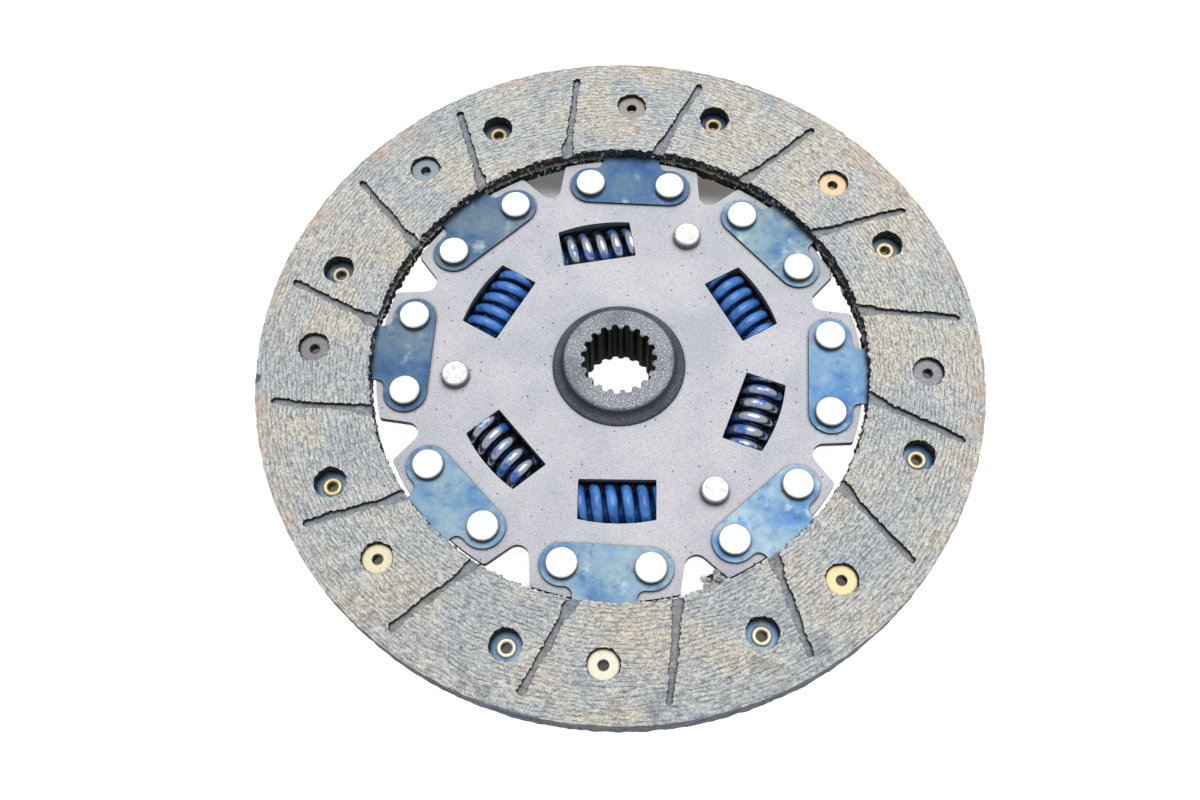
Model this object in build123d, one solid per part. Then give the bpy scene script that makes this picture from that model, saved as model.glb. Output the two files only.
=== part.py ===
from build123d import *
import math
import os

# Driven disc of a single-plate dry clutch for a small car, with a torsion-damped hub.
# Millimetres and degrees. Z runs along the hub from its rear end face (z = 0) to its nose.
# Y runs through the middle of cushion segment 1, and the origin is on the axis.

# Facings: two equal wound rings, riveted to the cushion segments from opposite sides.
FACING_OUTER_RADIUS = 95.0
FACING_BORE_CLEARANCE = 1.4    # between the facings' bore and the disc plate's lobes
FACING_THICKNESS = 3.2
GROOVE_COUNT = 16
GROOVE_WIDTH = 2.4
GROOVE_DEPTH = 0.9
GROOVE_OFFSET = 20.7           # from the disc's axis to the middle of each straight groove
GROOVE_END_LAND = 4.1          # facing left outside the blind, rounded end of a groove
GROOVE_END_ROUNDNESS = 0.9     # of the blind end: its fillet as a share of half the width
GROOVE_MOUTH_FILLET = 1.8      # where a groove opens at the inner edge
GROOVE_ANGLE = -2.4            # direction of the first groove, from +X
RIVET_CIRCLE_OFFSET = 0.25     # of the facing rivets, outside the middle of the facing's width
FACING_HOLE_CLEARANCE = 0.2    # radial, round a rivet head
HEAD_FLOOR_THICKNESS = 1.3     # facing left under a rivet head
HEAD_SIDE_ANGLE = 0.6          # from a segment's middle to the rivet whose head is at the front
TAIL_SIDE_ANGLE = -16.45       # from a segment's middle to the rivet whose head is at the rear

# Burst edge of the front facing: a loosened flap of yarn that stands into the bore.
FLAP_ANGLE = -66.6
FLAP_WIDTH = 4.4
FLAP_REACH = 3.0
FLAP_THICKNESS = 1.6
FLAP_ROOT = 1.5                # how far the flap's outline goes back into the ring
FLAP_EDGE = [(0.45, -0.8), (1.0, 0.1), (0.6, 0.65)]  # shares of its reach and half width

# Cushion segments: spring-steel paddles, folded so that half of each wing lies lower.
SEGMENT_COUNT = 8
SEGMENT_THICKNESS = 0.7
SEGMENT_FOLD_HEIGHT = 0.4
SEGMENT_NECK_HALF_WIDTH = 7.9
SEGMENT_EAR_RADIUS = 5.6
SEGMENT_NECK_FILLET = 2.2
SEGMENT_CORNER_FILLET = 2.5
WING_EDGE_INSET = 2.5          # from the facings' inner and outer edges to the wing's
WING_LEADING_ANGLE = 14.3      # wing edges, from the segment's middle
WING_TRAILING_ANGLE = -29.3
FOLD_START_ANGLE = -8.6        # the ramp between the high and the low half of a wing
FOLD_END_ANGLE = -11.0
FOLD_PLATE_CLEARANCE = 0.4     # from the disc plate's edge to where the fold begins

# Rivets that hold the segments to the disc plate, one in each ear.
EAR_RIVET_SPACING = 22.1
EAR_RIVET_EDGE_DISTANCE = 7.51  # from a rivet's middle to the disc plate's edge
EAR_RIVET_HEAD_RADIUS = 4.0
EAR_RIVET_HEAD_HEIGHT = 1.65
EAR_RIVET_SHANK_RADIUS = 2.5
EAR_RIVET_TAIL_RADIUS = 3.7
EAR_RIVET_TAIL_HEIGHT = 1.4
EAR_RIVET_EDGE = 0.3

# Tubular brass rivets that hold the facings.
FACING_RIVET_HEAD_RADIUS = 3.95
FACING_RIVET_HEAD_THICKNESS = 0.6
FACING_RIVET_SHANK_RADIUS = 2.0
FACING_RIVET_BORE_RADIUS = 1.25
FACING_RIVET_CURL_RADIUS = 2.6
FACING_RIVET_CURL_HEIGHT = 0.55

# Disc plate (front) and retainer plate (rear), held apart by the stop pins.
PLATE_THICKNESS = 2.0
PLATE_OUTER_RADIUS = 64.1
NOTCH_HALF_ANGLE = 28.0        # of the eight V notches between the plate's lobes
NOTCH_BOTTOM_RADIUS = 3.0
NOTCH_DEPTH = 8.75
LOBE_CORNER_FILLET = 1.0
RETAINER_RIM = 5.9             # outside the spring windows
RETAINER_BORE_CLEARANCE = 0.6
WINDOW_HALF_LENGTH = 9.97
WINDOW_INNER_CLEARANCE = 0.35  # between the coil, where it passes a plate, and the window
WINDOW_OUTER_CLEARANCE = 1.05  # the same on the outer side, at the window's middle
WINDOW_CORNER_FILLET = 0.4

# Stop pins: shouldered spacers, riveted over at both plates.
STOP_PIN_COUNT = 3
STOP_PIN_FIRST_ANGLE = 67.5
STOP_PIN_CIRCLE_RADIUS = 43.1
STOP_PIN_BODY_RADIUS = 4.25
STOP_PIN_TENON_RADIUS = 2.75
STOP_PIN_HEAD_RADIUS = 3.55
STOP_PIN_HEAD_HEIGHT = 2.6
STOP_PIN_EDGE = 0.35

# Damper springs, two between each pair of stop pins.
SPRING_ANGLE_FROM_PIN = 35.0
SPRING_CENTRE_DISTANCE = 37.8
SPRING_OUTER_RADIUS = 6.6
SPRING_WIRE_RADIUS = 1.55
SPRING_TURN_GAP = 0.95         # between one turn and the next
SPRING_END_CLEARANCE = 0.12    # to the window's end, at each end

# Hub: a turned boss with a flange between the plates and a splined bore.
HUB_REAR_PROUD = 0.8           # rear end beyond the heads of the stop pins
HUB_NOSE_PROUD = 0.2           # nose above the front facing's friction face
HUB_BOSS_RADIUS = 17.45
HUB_PILOT_CLEARANCE = 0.08     # radial, hub in the disc plate
HUB_LEDGE_WIDTH = 2.55         # ledge round the nose, from the boss to the nose's foot
HUB_LEDGE_HEIGHT = 0.7         # ledge above the disc plate
HUB_NOSE_TAPER = 0.4           # nose narrower at its end than at its foot, radial
HUB_LEDGE_FILLET = 1.5
HUB_EDGE_CHAMFER = 0.35
HUB_REAR_CHAMFER = 1.0
FLANGE_THICKNESS = 4.0
FLANGE_WINDOW_CLEARANCE = 0.15  # round the spring, in the flange's windows
FLANGE_RIM = 3.05              # outside the flange's windows
SLOT_CORNER_FILLET = 1.5
TWIST_LIMIT = 4.0              # the hub turns this far each way against the springs
PIN_STOP_GAP = 0.3             # left between a pin and the end of its slot at the limit
PIN_SLOT_FLOOR_GAP = 0.7       # between a pin and the bottom of its slot

# Splined bore.
SPLINE_TEETH = 19
SPLINE_MAJOR_RADIUS = 10.05
SPLINE_TOOTH_DEPTH = 1.15
SPLINE_ROOT_HALF_WIDTH = 0.52   # of a tooth space, at the major radius
SPLINE_MOUTH_HALF_WIDTH = 0.98  # of a tooth space, at the minor radius
SPLINE_FLANK_BULGE = 0.07
SPLINE_REAR_CHAMFER = 1.2
SPLINE_NOSE_CHAMFER = 0.25
SPLINE_FIRST_ANGLE = -90.0

# Friction pack between the plates and the flange.
FRONT_WASHER_THICKNESS = 1.5
REAR_WASHER_THICKNESS = 1.2
WASHER_BORE_CLEARANCE = 0.5
WASHER_SPRING_CLEARANCE = 4.2  # from the washers' outer edge to the damper springs
SPRING_WASHER_HEIGHT = 1.3
SPRING_WASHER_THICKNESS = 0.8
SPRING_WASHER_INSET = 1.5      # its outer edge inside the friction washers'
SPRING_WASHER_BORE_CLEARANCE = 1.2

RIVET_HOLE_CLEARANCE = 0.05    # radial, every riveted shank
CUT_MARGIN = 1.0               # how far cutters run past the faces they cut
SAME_PLACE = 0.01              # vertices this close to a radius or a line lie on it

# Heights, from the hub's rear end up through the stack.
Z_RETAINER_BOTTOM = HUB_REAR_PROUD + STOP_PIN_HEAD_HEIGHT
Z_RETAINER_TOP = Z_RETAINER_BOTTOM + PLATE_THICKNESS
Z_REAR_WASHER_BOTTOM = Z_RETAINER_TOP + SPRING_WASHER_HEIGHT
Z_FLANGE_BOTTOM = Z_REAR_WASHER_BOTTOM + REAR_WASHER_THICKNESS
Z_FLANGE_TOP = Z_FLANGE_BOTTOM + FLANGE_THICKNESS
Z_PLATE_BOTTOM = Z_FLANGE_TOP + FRONT_WASHER_THICKNESS
Z_PLATE_TOP = Z_PLATE_BOTTOM + PLATE_THICKNESS
Z_CUSHION_BOTTOM = Z_PLATE_TOP - SEGMENT_FOLD_HEIGHT
Z_CUSHION_TOP = Z_PLATE_TOP + SEGMENT_THICKNESS
Z_FRONT_FACE = Z_CUSHION_TOP + FACING_THICKNESS
HUB_LENGTH = Z_FRONT_FACE + HUB_NOSE_PROUD
Z_SPRING_AXIS = (Z_PLATE_BOTTOM + Z_RETAINER_TOP) / 2

# Radii and distances that follow from the sizes above.
FACING_INNER_RADIUS = PLATE_OUTER_RADIUS + FACING_BORE_CLEARANCE
GROOVE_END_RADIUS = FACING_OUTER_RADIUS - GROOVE_END_LAND
RIVET_CIRCLE_RADIUS = (FACING_INNER_RADIUS + FACING_OUTER_RADIUS) / 2 + RIVET_CIRCLE_OFFSET
FACING_HOLE_RADIUS = FACING_RIVET_HEAD_RADIUS + FACING_HOLE_CLEARANCE
WING_INNER_RADIUS = FACING_INNER_RADIUS + WING_EDGE_INSET
WING_OUTER_RADIUS = FACING_OUTER_RADIUS - WING_EDGE_INSET
FOLD_INNER_RADIUS = PLATE_OUTER_RADIUS + FOLD_PLATE_CLEARANCE
EAR_RIVET_Y = math.sqrt(
    (PLATE_OUTER_RADIUS - EAR_RIVET_EDGE_DISTANCE) ** 2 - (EAR_RIVET_SPACING / 2) ** 2
)
COIL_HALF_WIDTH = math.sqrt(SPRING_OUTER_RADIUS**2 - (Z_PLATE_BOTTOM - Z_SPRING_AXIS) ** 2)
WINDOW_INNER_DISTANCE = SPRING_CENTRE_DISTANCE - COIL_HALF_WIDTH - WINDOW_INNER_CLEARANCE
WINDOW_OUTER_RADIUS = SPRING_CENTRE_DISTANCE + COIL_HALF_WIDTH + WINDOW_OUTER_CLEARANCE
RETAINER_OUTER_RADIUS = WINDOW_OUTER_RADIUS + RETAINER_RIM
FLANGE_WINDOW_HALF_WIDTH = SPRING_OUTER_RADIUS + FLANGE_WINDOW_CLEARANCE
FLANGE_OUTER_RADIUS = SPRING_CENTRE_DISTANCE + FLANGE_WINDOW_HALF_WIDTH + FLANGE_RIM
HUB_NOSE_FOOT_RADIUS = HUB_BOSS_RADIUS - HUB_LEDGE_WIDTH
HUB_NOSE_RADIUS = HUB_NOSE_FOOT_RADIUS - HUB_NOSE_TAPER
SPLINE_MINOR_RADIUS = SPLINE_MAJOR_RADIUS - SPLINE_TOOTH_DEPTH
WASHER_OUTER_RADIUS = SPRING_CENTRE_DISTANCE - SPRING_OUTER_RADIUS - WASHER_SPRING_CLEARANCE
SPRING_WASHER_OUTER_RADIUS = WASHER_OUTER_RADIUS - SPRING_WASHER_INSET

SEGMENT_STEP = 360 / SEGMENT_COUNT
PIN_ANGLES = [STOP_PIN_FIRST_ANGLE + k * 360 / STOP_PIN_COUNT for k in range(STOP_PIN_COUNT)]
SPRING_ANGLES = [
    pin + side * SPRING_ANGLE_FROM_PIN
    for pin in PIN_ANGLES
    for side in (1, -1)
]


def at_polar(radius, angle, z=0.0):
    """Location on a circle round the disc's axis, turned so that local +X points outwards."""
    return Rot(0, 0, angle) * Pos(radius, 0, z)


def round_corners(sketch, radius, chosen):
    """The sketch with the chosen vertices rounded."""
    corners = [vertex for vertex in sketch.vertices() if chosen(vertex)]
    return fillet(corners, radius) if corners else sketch


def from_axis(vertex):
    return math.hypot(vertex.X, vertex.Y)


# ---------------------------------------------------------------- facings


def groove_pattern():
    """The bore and every groove as one outline, with the grooves' mouths flared."""
    start = math.sqrt(FACING_INNER_RADIUS**2 - GROOVE_OFFSET**2) / 2
    end = math.sqrt(GROOVE_END_RADIUS**2 - GROOVE_OFFSET**2)
    length = end - start
    end_fillet = GROOVE_END_ROUNDNESS * GROOVE_WIDTH / 2
    pattern = Circle(FACING_INNER_RADIUS)
    for k in range(GROOVE_COUNT):
        groove = RectangleRounded(length, GROOVE_WIDTH, end_fillet)
        middle = Pos(start + length / 2, GROOVE_OFFSET)
        pattern += Rot(0, 0, GROOVE_ANGLE + k * 360 / GROOVE_COUNT) * middle * groove
    return round_corners(
        pattern,
        GROOVE_MOUTH_FILLET,
        lambda vertex: abs(from_axis(vertex) - FACING_INNER_RADIUS) < SAME_PLACE,
    )


def facing():
    """One friction ring, back face on z = 0 and grooved wear face up."""
    ring = extrude(Circle(FACING_OUTER_RADIUS) - Circle(FACING_INNER_RADIUS), FACING_THICKNESS)
    floor = FACING_THICKNESS - GROOVE_DEPTH
    ring -= Pos(0, 0, floor) * extrude(groove_pattern(), GROOVE_DEPTH + CUT_MARGIN)
    shank_hole = Cylinder(
        FACING_RIVET_SHANK_RADIUS + RIVET_HOLE_CLEARANCE,
        2 * FACING_THICKNESS,
    )
    wide_hole = Cylinder(
        FACING_HOLE_RADIUS,
        FACING_THICKNESS + CUT_MARGIN,
        align=(Align.CENTER, Align.CENTER, Align.MIN),
    )
    through_hole = Cylinder(FACING_HOLE_RADIUS, 3 * FACING_THICKNESS)
    for k in range(SEGMENT_COUNT):
        middle = 90 - k * SEGMENT_STEP
        ring -= at_polar(RIVET_CIRCLE_RADIUS, middle + HEAD_SIDE_ANGLE) * shank_hole
        seat = at_polar(
            RIVET_CIRCLE_RADIUS,
            middle + HEAD_SIDE_ANGLE,
            HEAD_FLOOR_THICKNESS,
        )
        ring -= seat * wide_hole
        ring -= at_polar(RIVET_CIRCLE_RADIUS, middle + TAIL_SIDE_ANGLE) * through_hole
    return ring


def loose_flap():
    """Torn yarn at the front facing's inner edge, left standing into the bore."""
    root = FACING_INNER_RADIUS + FLAP_ROOT
    half = FLAP_WIDTH / 2
    edge = [
        (FACING_INNER_RADIUS - reach * FLAP_REACH, width * half)
        for reach, width in FLAP_EDGE
    ]
    with BuildSketch() as outline:
        with BuildLine():
            Spline((root, -half), *edge, (root, half))
            Line((root, half), (root, -half))
        make_face()
    return Rot(0, 0, FLAP_ANGLE) * extrude(outline.sketch, FLAP_THICKNESS)


def facing_front():
    ring = Pos(0, 0, Z_CUSHION_TOP) * facing()
    flap_bottom = Z_FRONT_FACE - GROOVE_DEPTH - FLAP_THICKNESS
    return ring + Pos(0, 0, flap_bottom) * loose_flap()


def facing_rear():
    """The same ring turned over about the line midway between a head and a tail rivet."""
    turn_axis = 90 + (HEAD_SIDE_ANGLE + TAIL_SIDE_ANGLE) / 2
    turned = Rot(0, 0, turn_axis) * Rot(180, 0, 0) * Rot(0, 0, -turn_axis) * facing()
    return Pos(0, 0, Z_CUSHION_BOTTOM) * turned


# ---------------------------------------------------------------- cushion segments


def wing_outline():
    """Annular sector, given about +Y, that lies between the facings."""
    span = WING_LEADING_ANGLE - WING_TRAILING_ANGLE
    middle = (WING_LEADING_ANGLE + WING_TRAILING_ANGLE) / 2
    reach = 2 * WING_OUTER_RADIUS
    half_width = reach * math.tan(math.radians(span / 2))
    wedge = Polygon((0, 0), (half_width, reach), (-half_width, reach), align=None)
    sector = (Circle(WING_OUTER_RADIUS) - Circle(WING_INNER_RADIUS)) & (Rot(0, 0, middle) * wedge)
    return round_corners(sector, SEGMENT_CORNER_FILLET, lambda vertex: True)


def segment_outline():
    """Two riveted ears, a neck and a wing, about +Y."""
    ears = Pos(0, EAR_RIVET_Y) * SlotCenterToCenter(EAR_RIVET_SPACING, 2 * SEGMENT_EAR_RADIUS)
    neck_top = WING_INNER_RADIUS + SEGMENT_CORNER_FILLET
    neck_length = neck_top - EAR_RIVET_Y
    neck = Pos(0, EAR_RIVET_Y + neck_length / 2) * Rectangle(
        2 * SEGMENT_NECK_HALF_WIDTH,
        neck_length,
    )
    outline = ears + neck + wing_outline()
    return round_corners(
        outline,
        SEGMENT_NECK_FILLET,
        lambda vertex: abs(abs(vertex.X) - SEGMENT_NECK_HALF_WIDTH) < SAME_PLACE,
    )


def folded_sheet():
    """Sheet that is flat at the root and, past the ears, high on one side of a radial fold."""
    fold_middle = (FOLD_START_ANGLE + FOLD_END_ANGLE) / 2
    ramp = math.radians(FOLD_START_ANGLE - FOLD_END_ANGLE) * RIVET_CIRCLE_RADIUS
    reach = 2 * WING_OUTER_RADIUS
    top = SEGMENT_THICKNESS
    flat = Pos(0, FOLD_INNER_RADIUS / 2, top / 2) * Box(reach, FOLD_INNER_RADIUS, top)
    section = Polygon(
        (-reach, 0),
        (-ramp / 2, 0),
        (ramp / 2, -SEGMENT_FOLD_HEIGHT),
        (reach, -SEGMENT_FOLD_HEIGHT),
        (reach, top - SEGMENT_FOLD_HEIGHT),
        (ramp / 2, top - SEGMENT_FOLD_HEIGHT),
        (-ramp / 2, top),
        (-reach, top),
        align=None,
    )
    folded = Pos(0, FOLD_INNER_RADIUS, 0) * extrude(Plane.XZ * section, -reach)
    return Rot(0, 0, fold_middle) * (flat + folded)


def cushion_segment():
    """One segment about +Y, root underside on z = 0."""
    height = SEGMENT_THICKNESS + 2 * SEGMENT_FOLD_HEIGHT + 2 * CUT_MARGIN
    block = Pos(0, 0, -SEGMENT_FOLD_HEIGHT - CUT_MARGIN) * extrude(segment_outline(), height)
    segment = block & folded_sheet()
    ear_hole = Cylinder(EAR_RIVET_SHANK_RADIUS + RIVET_HOLE_CLEARANCE, 4 * CUT_MARGIN)
    for side in (1, -1):
        segment -= Pos(side * EAR_RIVET_SPACING / 2, EAR_RIVET_Y) * ear_hole
    facing_hole = Cylinder(FACING_RIVET_SHANK_RADIUS + RIVET_HOLE_CLEARANCE, 4 * CUT_MARGIN)
    for angle in (HEAD_SIDE_ANGLE, TAIL_SIDE_ANGLE):
        segment -= at_polar(RIVET_CIRCLE_RADIUS, 90 + angle) * facing_hole
    return segment


# ---------------------------------------------------------------- rivets


def turned_piece(points):
    """Solid of revolution about Z from (radius, height) points."""
    with BuildSketch(Plane.XZ) as section:
        with BuildLine():
            Polyline(*points, close=True)
        make_face()
    return revolve(section.sketch, Axis.Z)


def ear_rivet():
    """Steel rivet, seat of its head on z = 0 and its tail below the plate."""
    grip = SEGMENT_THICKNESS + PLATE_THICKNESS
    head, shank, tail = EAR_RIVET_HEAD_RADIUS, EAR_RIVET_SHANK_RADIUS, EAR_RIVET_TAIL_RADIUS
    top = EAR_RIVET_HEAD_HEIGHT
    end = -grip - EAR_RIVET_TAIL_HEIGHT
    return turned_piece(
        [
            (0, top),
            (head - EAR_RIVET_EDGE, top),
            (head, top - EAR_RIVET_EDGE),
            (head, 0),
            (shank, 0),
            (shank, -grip),
            (tail, -grip),
            (tail - EAR_RIVET_EDGE, end),
            (0, end),
        ]
    )


def facing_rivet():
    """Tubular rivet, seat of its head on z = 0 and its curled tail past the segment."""
    grip = HEAD_FLOOR_THICKNESS + SEGMENT_THICKNESS
    bore, shank, curl = (
        FACING_RIVET_BORE_RADIUS,
        FACING_RIVET_SHANK_RADIUS,
        FACING_RIVET_CURL_RADIUS,
    )
    end = -grip - FACING_RIVET_CURL_HEIGHT
    with BuildSketch(Plane.XZ) as section:
        with BuildLine():
            Polyline(
                (bore, -grip),
                (bore, FACING_RIVET_HEAD_THICKNESS),
                (FACING_RIVET_HEAD_RADIUS, FACING_RIVET_HEAD_THICKNESS),
                (FACING_RIVET_HEAD_RADIUS, 0),
                (shank, 0),
                (shank, -grip),
                (curl, -grip),
            )
            ThreePointArc((curl, -grip), ((bore + curl) / 2, end), (bore, -grip))
        make_face()
    return revolve(section.sketch, Axis.Z)


def facing_rivets_front():
    """Heads in the front facing, tails curled over the segments' high halves."""
    seat = Z_CUSHION_TOP + HEAD_FLOOR_THICKNESS
    rivet = facing_rivet()
    return [
        at_polar(
            RIVET_CIRCLE_RADIUS,
            90 - k * SEGMENT_STEP + HEAD_SIDE_ANGLE,
            seat,
        )
        * rivet
        for k in range(SEGMENT_COUNT)
    ]


def facing_rivets_rear():
    """Heads in the rear facing, tails curled over the segments' low halves."""
    seat = Z_CUSHION_BOTTOM - HEAD_FLOOR_THICKNESS
    rivet = Rot(180, 0, 0) * facing_rivet()
    return [
        at_polar(
            RIVET_CIRCLE_RADIUS,
            90 - k * SEGMENT_STEP + TAIL_SIDE_ANGLE,
            seat,
        )
        * rivet
        for k in range(SEGMENT_COUNT)
    ]


def segment_rivets():
    rivet = ear_rivet()
    return [
        Rot(0, 0, -k * SEGMENT_STEP)
        * Pos(side * EAR_RIVET_SPACING / 2, EAR_RIVET_Y, Z_CUSHION_TOP)
        * rivet
        for k in range(SEGMENT_COUNT)
        for side in (1, -1)
    ]


# ---------------------------------------------------------------- plates and stop pins


def plate_window():
    """Spring window about +X: square inner corners, outer edge on an arc of the disc."""
    depth = WINDOW_OUTER_RADIUS - WINDOW_INNER_DISTANCE
    blank = Pos(WINDOW_INNER_DISTANCE + depth / 2, 0) * Rectangle(depth, 2 * WINDOW_HALF_LENGTH)
    window = blank & Circle(WINDOW_OUTER_RADIUS)
    return round_corners(window, WINDOW_CORNER_FILLET, lambda vertex: True)


def lobe_notch():
    """V notch about +X with a round bottom, open past the plate's edge."""
    half = math.radians(NOTCH_HALF_ANGLE)
    centre = PLATE_OUTER_RADIUS - NOTCH_DEPTH + NOTCH_BOTTOM_RADIUS
    start = centre - NOTCH_BOTTOM_RADIUS * math.sin(half)
    start_half_width = NOTCH_BOTTOM_RADIUS * math.cos(half)
    end = PLATE_OUTER_RADIUS + 2 * CUT_MARGIN
    end_half_width = start_half_width + (end - start) * math.tan(half)
    mouth = Polygon(
        (start, -start_half_width),
        (end, -end_half_width),
        (end, end_half_width),
        (start, start_half_width),
        align=None,
    )
    return mouth + Pos(centre, 0) * Circle(NOTCH_BOTTOM_RADIUS)


def windowed_plate(outline, bore_radius):
    """Plate sketch with the hub bore, the spring windows and the stop-pin holes."""
    outline -= Circle(bore_radius)
    for angle in SPRING_ANGLES:
        outline -= Rot(0, 0, angle) * plate_window()
    for angle in PIN_ANGLES:
        hole = Circle(STOP_PIN_TENON_RADIUS + RIVET_HOLE_CLEARANCE)
        outline -= at_polar(STOP_PIN_CIRCLE_RADIUS, angle) * hole
    return outline


def disc_plate():
    lobed = Circle(PLATE_OUTER_RADIUS)
    for k in range(SEGMENT_COUNT):
        lobed -= Rot(0, 0, 90 + (k + 0.5) * SEGMENT_STEP) * lobe_notch()
    lobed = round_corners(
        lobed,
        LOBE_CORNER_FILLET,
        lambda vertex: abs(from_axis(vertex) - PLATE_OUTER_RADIUS) < SAME_PLACE,
    )
    outline = windowed_plate(lobed, HUB_BOSS_RADIUS + HUB_PILOT_CLEARANCE)
    ear_hole = Circle(EAR_RIVET_SHANK_RADIUS + RIVET_HOLE_CLEARANCE)
    for k in range(SEGMENT_COUNT):
        for side in (1, -1):
            place = Pos(side * EAR_RIVET_SPACING / 2, EAR_RIVET_Y)
            outline -= Rot(0, 0, -k * SEGMENT_STEP) * place * ear_hole
    return Pos(0, 0, Z_PLATE_BOTTOM) * extrude(outline, PLATE_THICKNESS)


def retainer_plate():
    outline = windowed_plate(
        Circle(RETAINER_OUTER_RADIUS),
        HUB_BOSS_RADIUS + RETAINER_BORE_CLEARANCE,
    )
    return Pos(0, 0, Z_RETAINER_BOTTOM) * extrude(outline, PLATE_THICKNESS)


def stop_pin(angle):
    """Shouldered pin between the plates, headed outside both of them."""
    body, tenon, head = STOP_PIN_BODY_RADIUS, STOP_PIN_TENON_RADIUS, STOP_PIN_HEAD_RADIUS
    top = Z_PLATE_TOP + STOP_PIN_HEAD_HEIGHT
    bottom = Z_RETAINER_BOTTOM - STOP_PIN_HEAD_HEIGHT
    pin = turned_piece(
        [
            (0, top),
            (head - STOP_PIN_EDGE, top),
            (head, top - STOP_PIN_EDGE),
            (head, Z_PLATE_TOP),
            (tenon, Z_PLATE_TOP),
            (tenon, Z_PLATE_BOTTOM),
            (body, Z_PLATE_BOTTOM),
            (body, Z_RETAINER_TOP),
            (tenon, Z_RETAINER_TOP),
            (tenon, Z_RETAINER_BOTTOM),
            (head, Z_RETAINER_BOTTOM),
            (head, bottom + STOP_PIN_EDGE),
            (head - STOP_PIN_EDGE, bottom),
            (0, bottom),
        ]
    )
    return at_polar(STOP_PIN_CIRCLE_RADIUS, angle) * pin


# ---------------------------------------------------------------- damper springs


def spring_length():
    return 2 * (WINDOW_HALF_LENGTH - SPRING_END_CLEARANCE)


def damper_spring(angle):
    """Right-hand coil with ground ends, lying tangentially in its window."""
    length = spring_length()
    mean_radius = SPRING_OUTER_RADIUS - SPRING_WIRE_RADIUS
    pitch = 2 * SPRING_WIRE_RADIUS + SPRING_TURN_GAP
    coil_length = length + 2 * SPRING_WIRE_RADIUS
    path = Pos(0, 0, -coil_length / 2) * Helix(pitch, coil_length, mean_radius)
    start = Plane(path @ 0, z_dir=path % 0)
    coil = sweep(start * Circle(SPRING_WIRE_RADIUS), path=path, is_frenet=True)
    ground = coil & Cylinder(2 * SPRING_OUTER_RADIUS, length)
    lying = Rot(0, 0, 90) * Rot(0, 90, 0) * ground
    return at_polar(SPRING_CENTRE_DISTANCE, angle, Z_SPRING_AXIS) * lying


# ---------------------------------------------------------------- hub


def spline_space():
    """One space between two internal teeth, about +X, with slightly bowed flanks."""
    inside = SPLINE_MINOR_RADIUS / 2
    half_mouth, half_root = SPLINE_MOUTH_HALF_WIDTH, SPLINE_ROOT_HALF_WIDTH
    minor, major = SPLINE_MINOR_RADIUS, SPLINE_MAJOR_RADIUS
    root_x = math.sqrt(major**2 - half_root**2)
    flank_x = (minor + root_x) / 2
    flank_y = (half_mouth + half_root) / 2 + SPLINE_FLANK_BULGE
    with BuildSketch() as space:
        with BuildLine():
            Polyline((minor, half_mouth), (inside, half_mouth), (inside, -half_mouth))
            Line((inside, -half_mouth), (minor, -half_mouth))
            ThreePointArc((minor, -half_mouth), (flank_x, -flank_y), (root_x, -half_root))
            ThreePointArc((root_x, -half_root), (major, 0), (root_x, half_root))
            ThreePointArc((root_x, half_root), (flank_x, flank_y), (minor, half_mouth))
        make_face()
    return space.sketch


def splined_bore():
    """Cutter for the bore: minor circle, all the tooth spaces and the two lead-in chamfers."""
    outline = Circle(SPLINE_MINOR_RADIUS)
    for k in range(SPLINE_TEETH):
        outline += Rot(0, 0, SPLINE_FIRST_ANGLE + k * 360 / SPLINE_TEETH) * spline_space()
    cutter = Pos(0, 0, -CUT_MARGIN) * extrude(outline, HUB_LENGTH + 2 * CUT_MARGIN)
    rear_mouth = SPLINE_MINOR_RADIUS + SPLINE_REAR_CHAMFER
    nose_mouth = SPLINE_MINOR_RADIUS + SPLINE_NOSE_CHAMFER
    cutter += Cone(
        rear_mouth,
        SPLINE_MINOR_RADIUS,
        SPLINE_REAR_CHAMFER,
        align=(Align.CENTER, Align.CENTER, Align.MIN),
    )
    cutter += Pos(0, 0, HUB_LENGTH) * Cone(
        SPLINE_MINOR_RADIUS,
        nose_mouth,
        SPLINE_NOSE_CHAMFER,
        align=(Align.CENTER, Align.CENTER, Align.MAX),
    )
    return cutter


def hub_blank():
    """Nose, ledge, boss and flange, as turned."""
    ledge = Z_PLATE_TOP + HUB_LEDGE_HEIGHT
    with BuildSketch(Plane.XZ) as section:
        with BuildLine() as profile:
            Polyline(
                (0, 0),
                (0, HUB_LENGTH),
                (HUB_NOSE_RADIUS - HUB_EDGE_CHAMFER, HUB_LENGTH),
                (HUB_NOSE_RADIUS, HUB_LENGTH - HUB_EDGE_CHAMFER),
                (HUB_NOSE_FOOT_RADIUS, ledge),
                (HUB_BOSS_RADIUS - HUB_EDGE_CHAMFER, ledge),
                (HUB_BOSS_RADIUS, ledge - HUB_EDGE_CHAMFER),
                (HUB_BOSS_RADIUS, Z_FLANGE_TOP),
                (FLANGE_OUTER_RADIUS, Z_FLANGE_TOP),
                (FLANGE_OUTER_RADIUS, Z_FLANGE_BOTTOM),
                (HUB_BOSS_RADIUS, Z_FLANGE_BOTTOM),
                (HUB_BOSS_RADIUS, HUB_REAR_CHAMFER),
                (HUB_BOSS_RADIUS - HUB_REAR_CHAMFER, 0),
                close=True,
            )
        make_face()
    foot = [
        vertex
        for vertex in section.sketch.vertices()
        if abs(vertex.X - HUB_NOSE_FOOT_RADIUS) < SAME_PLACE
        and abs(vertex.Z - ledge) < SAME_PLACE
    ]
    return revolve(fillet(foot, HUB_LEDGE_FILLET), Axis.Z)


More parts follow.
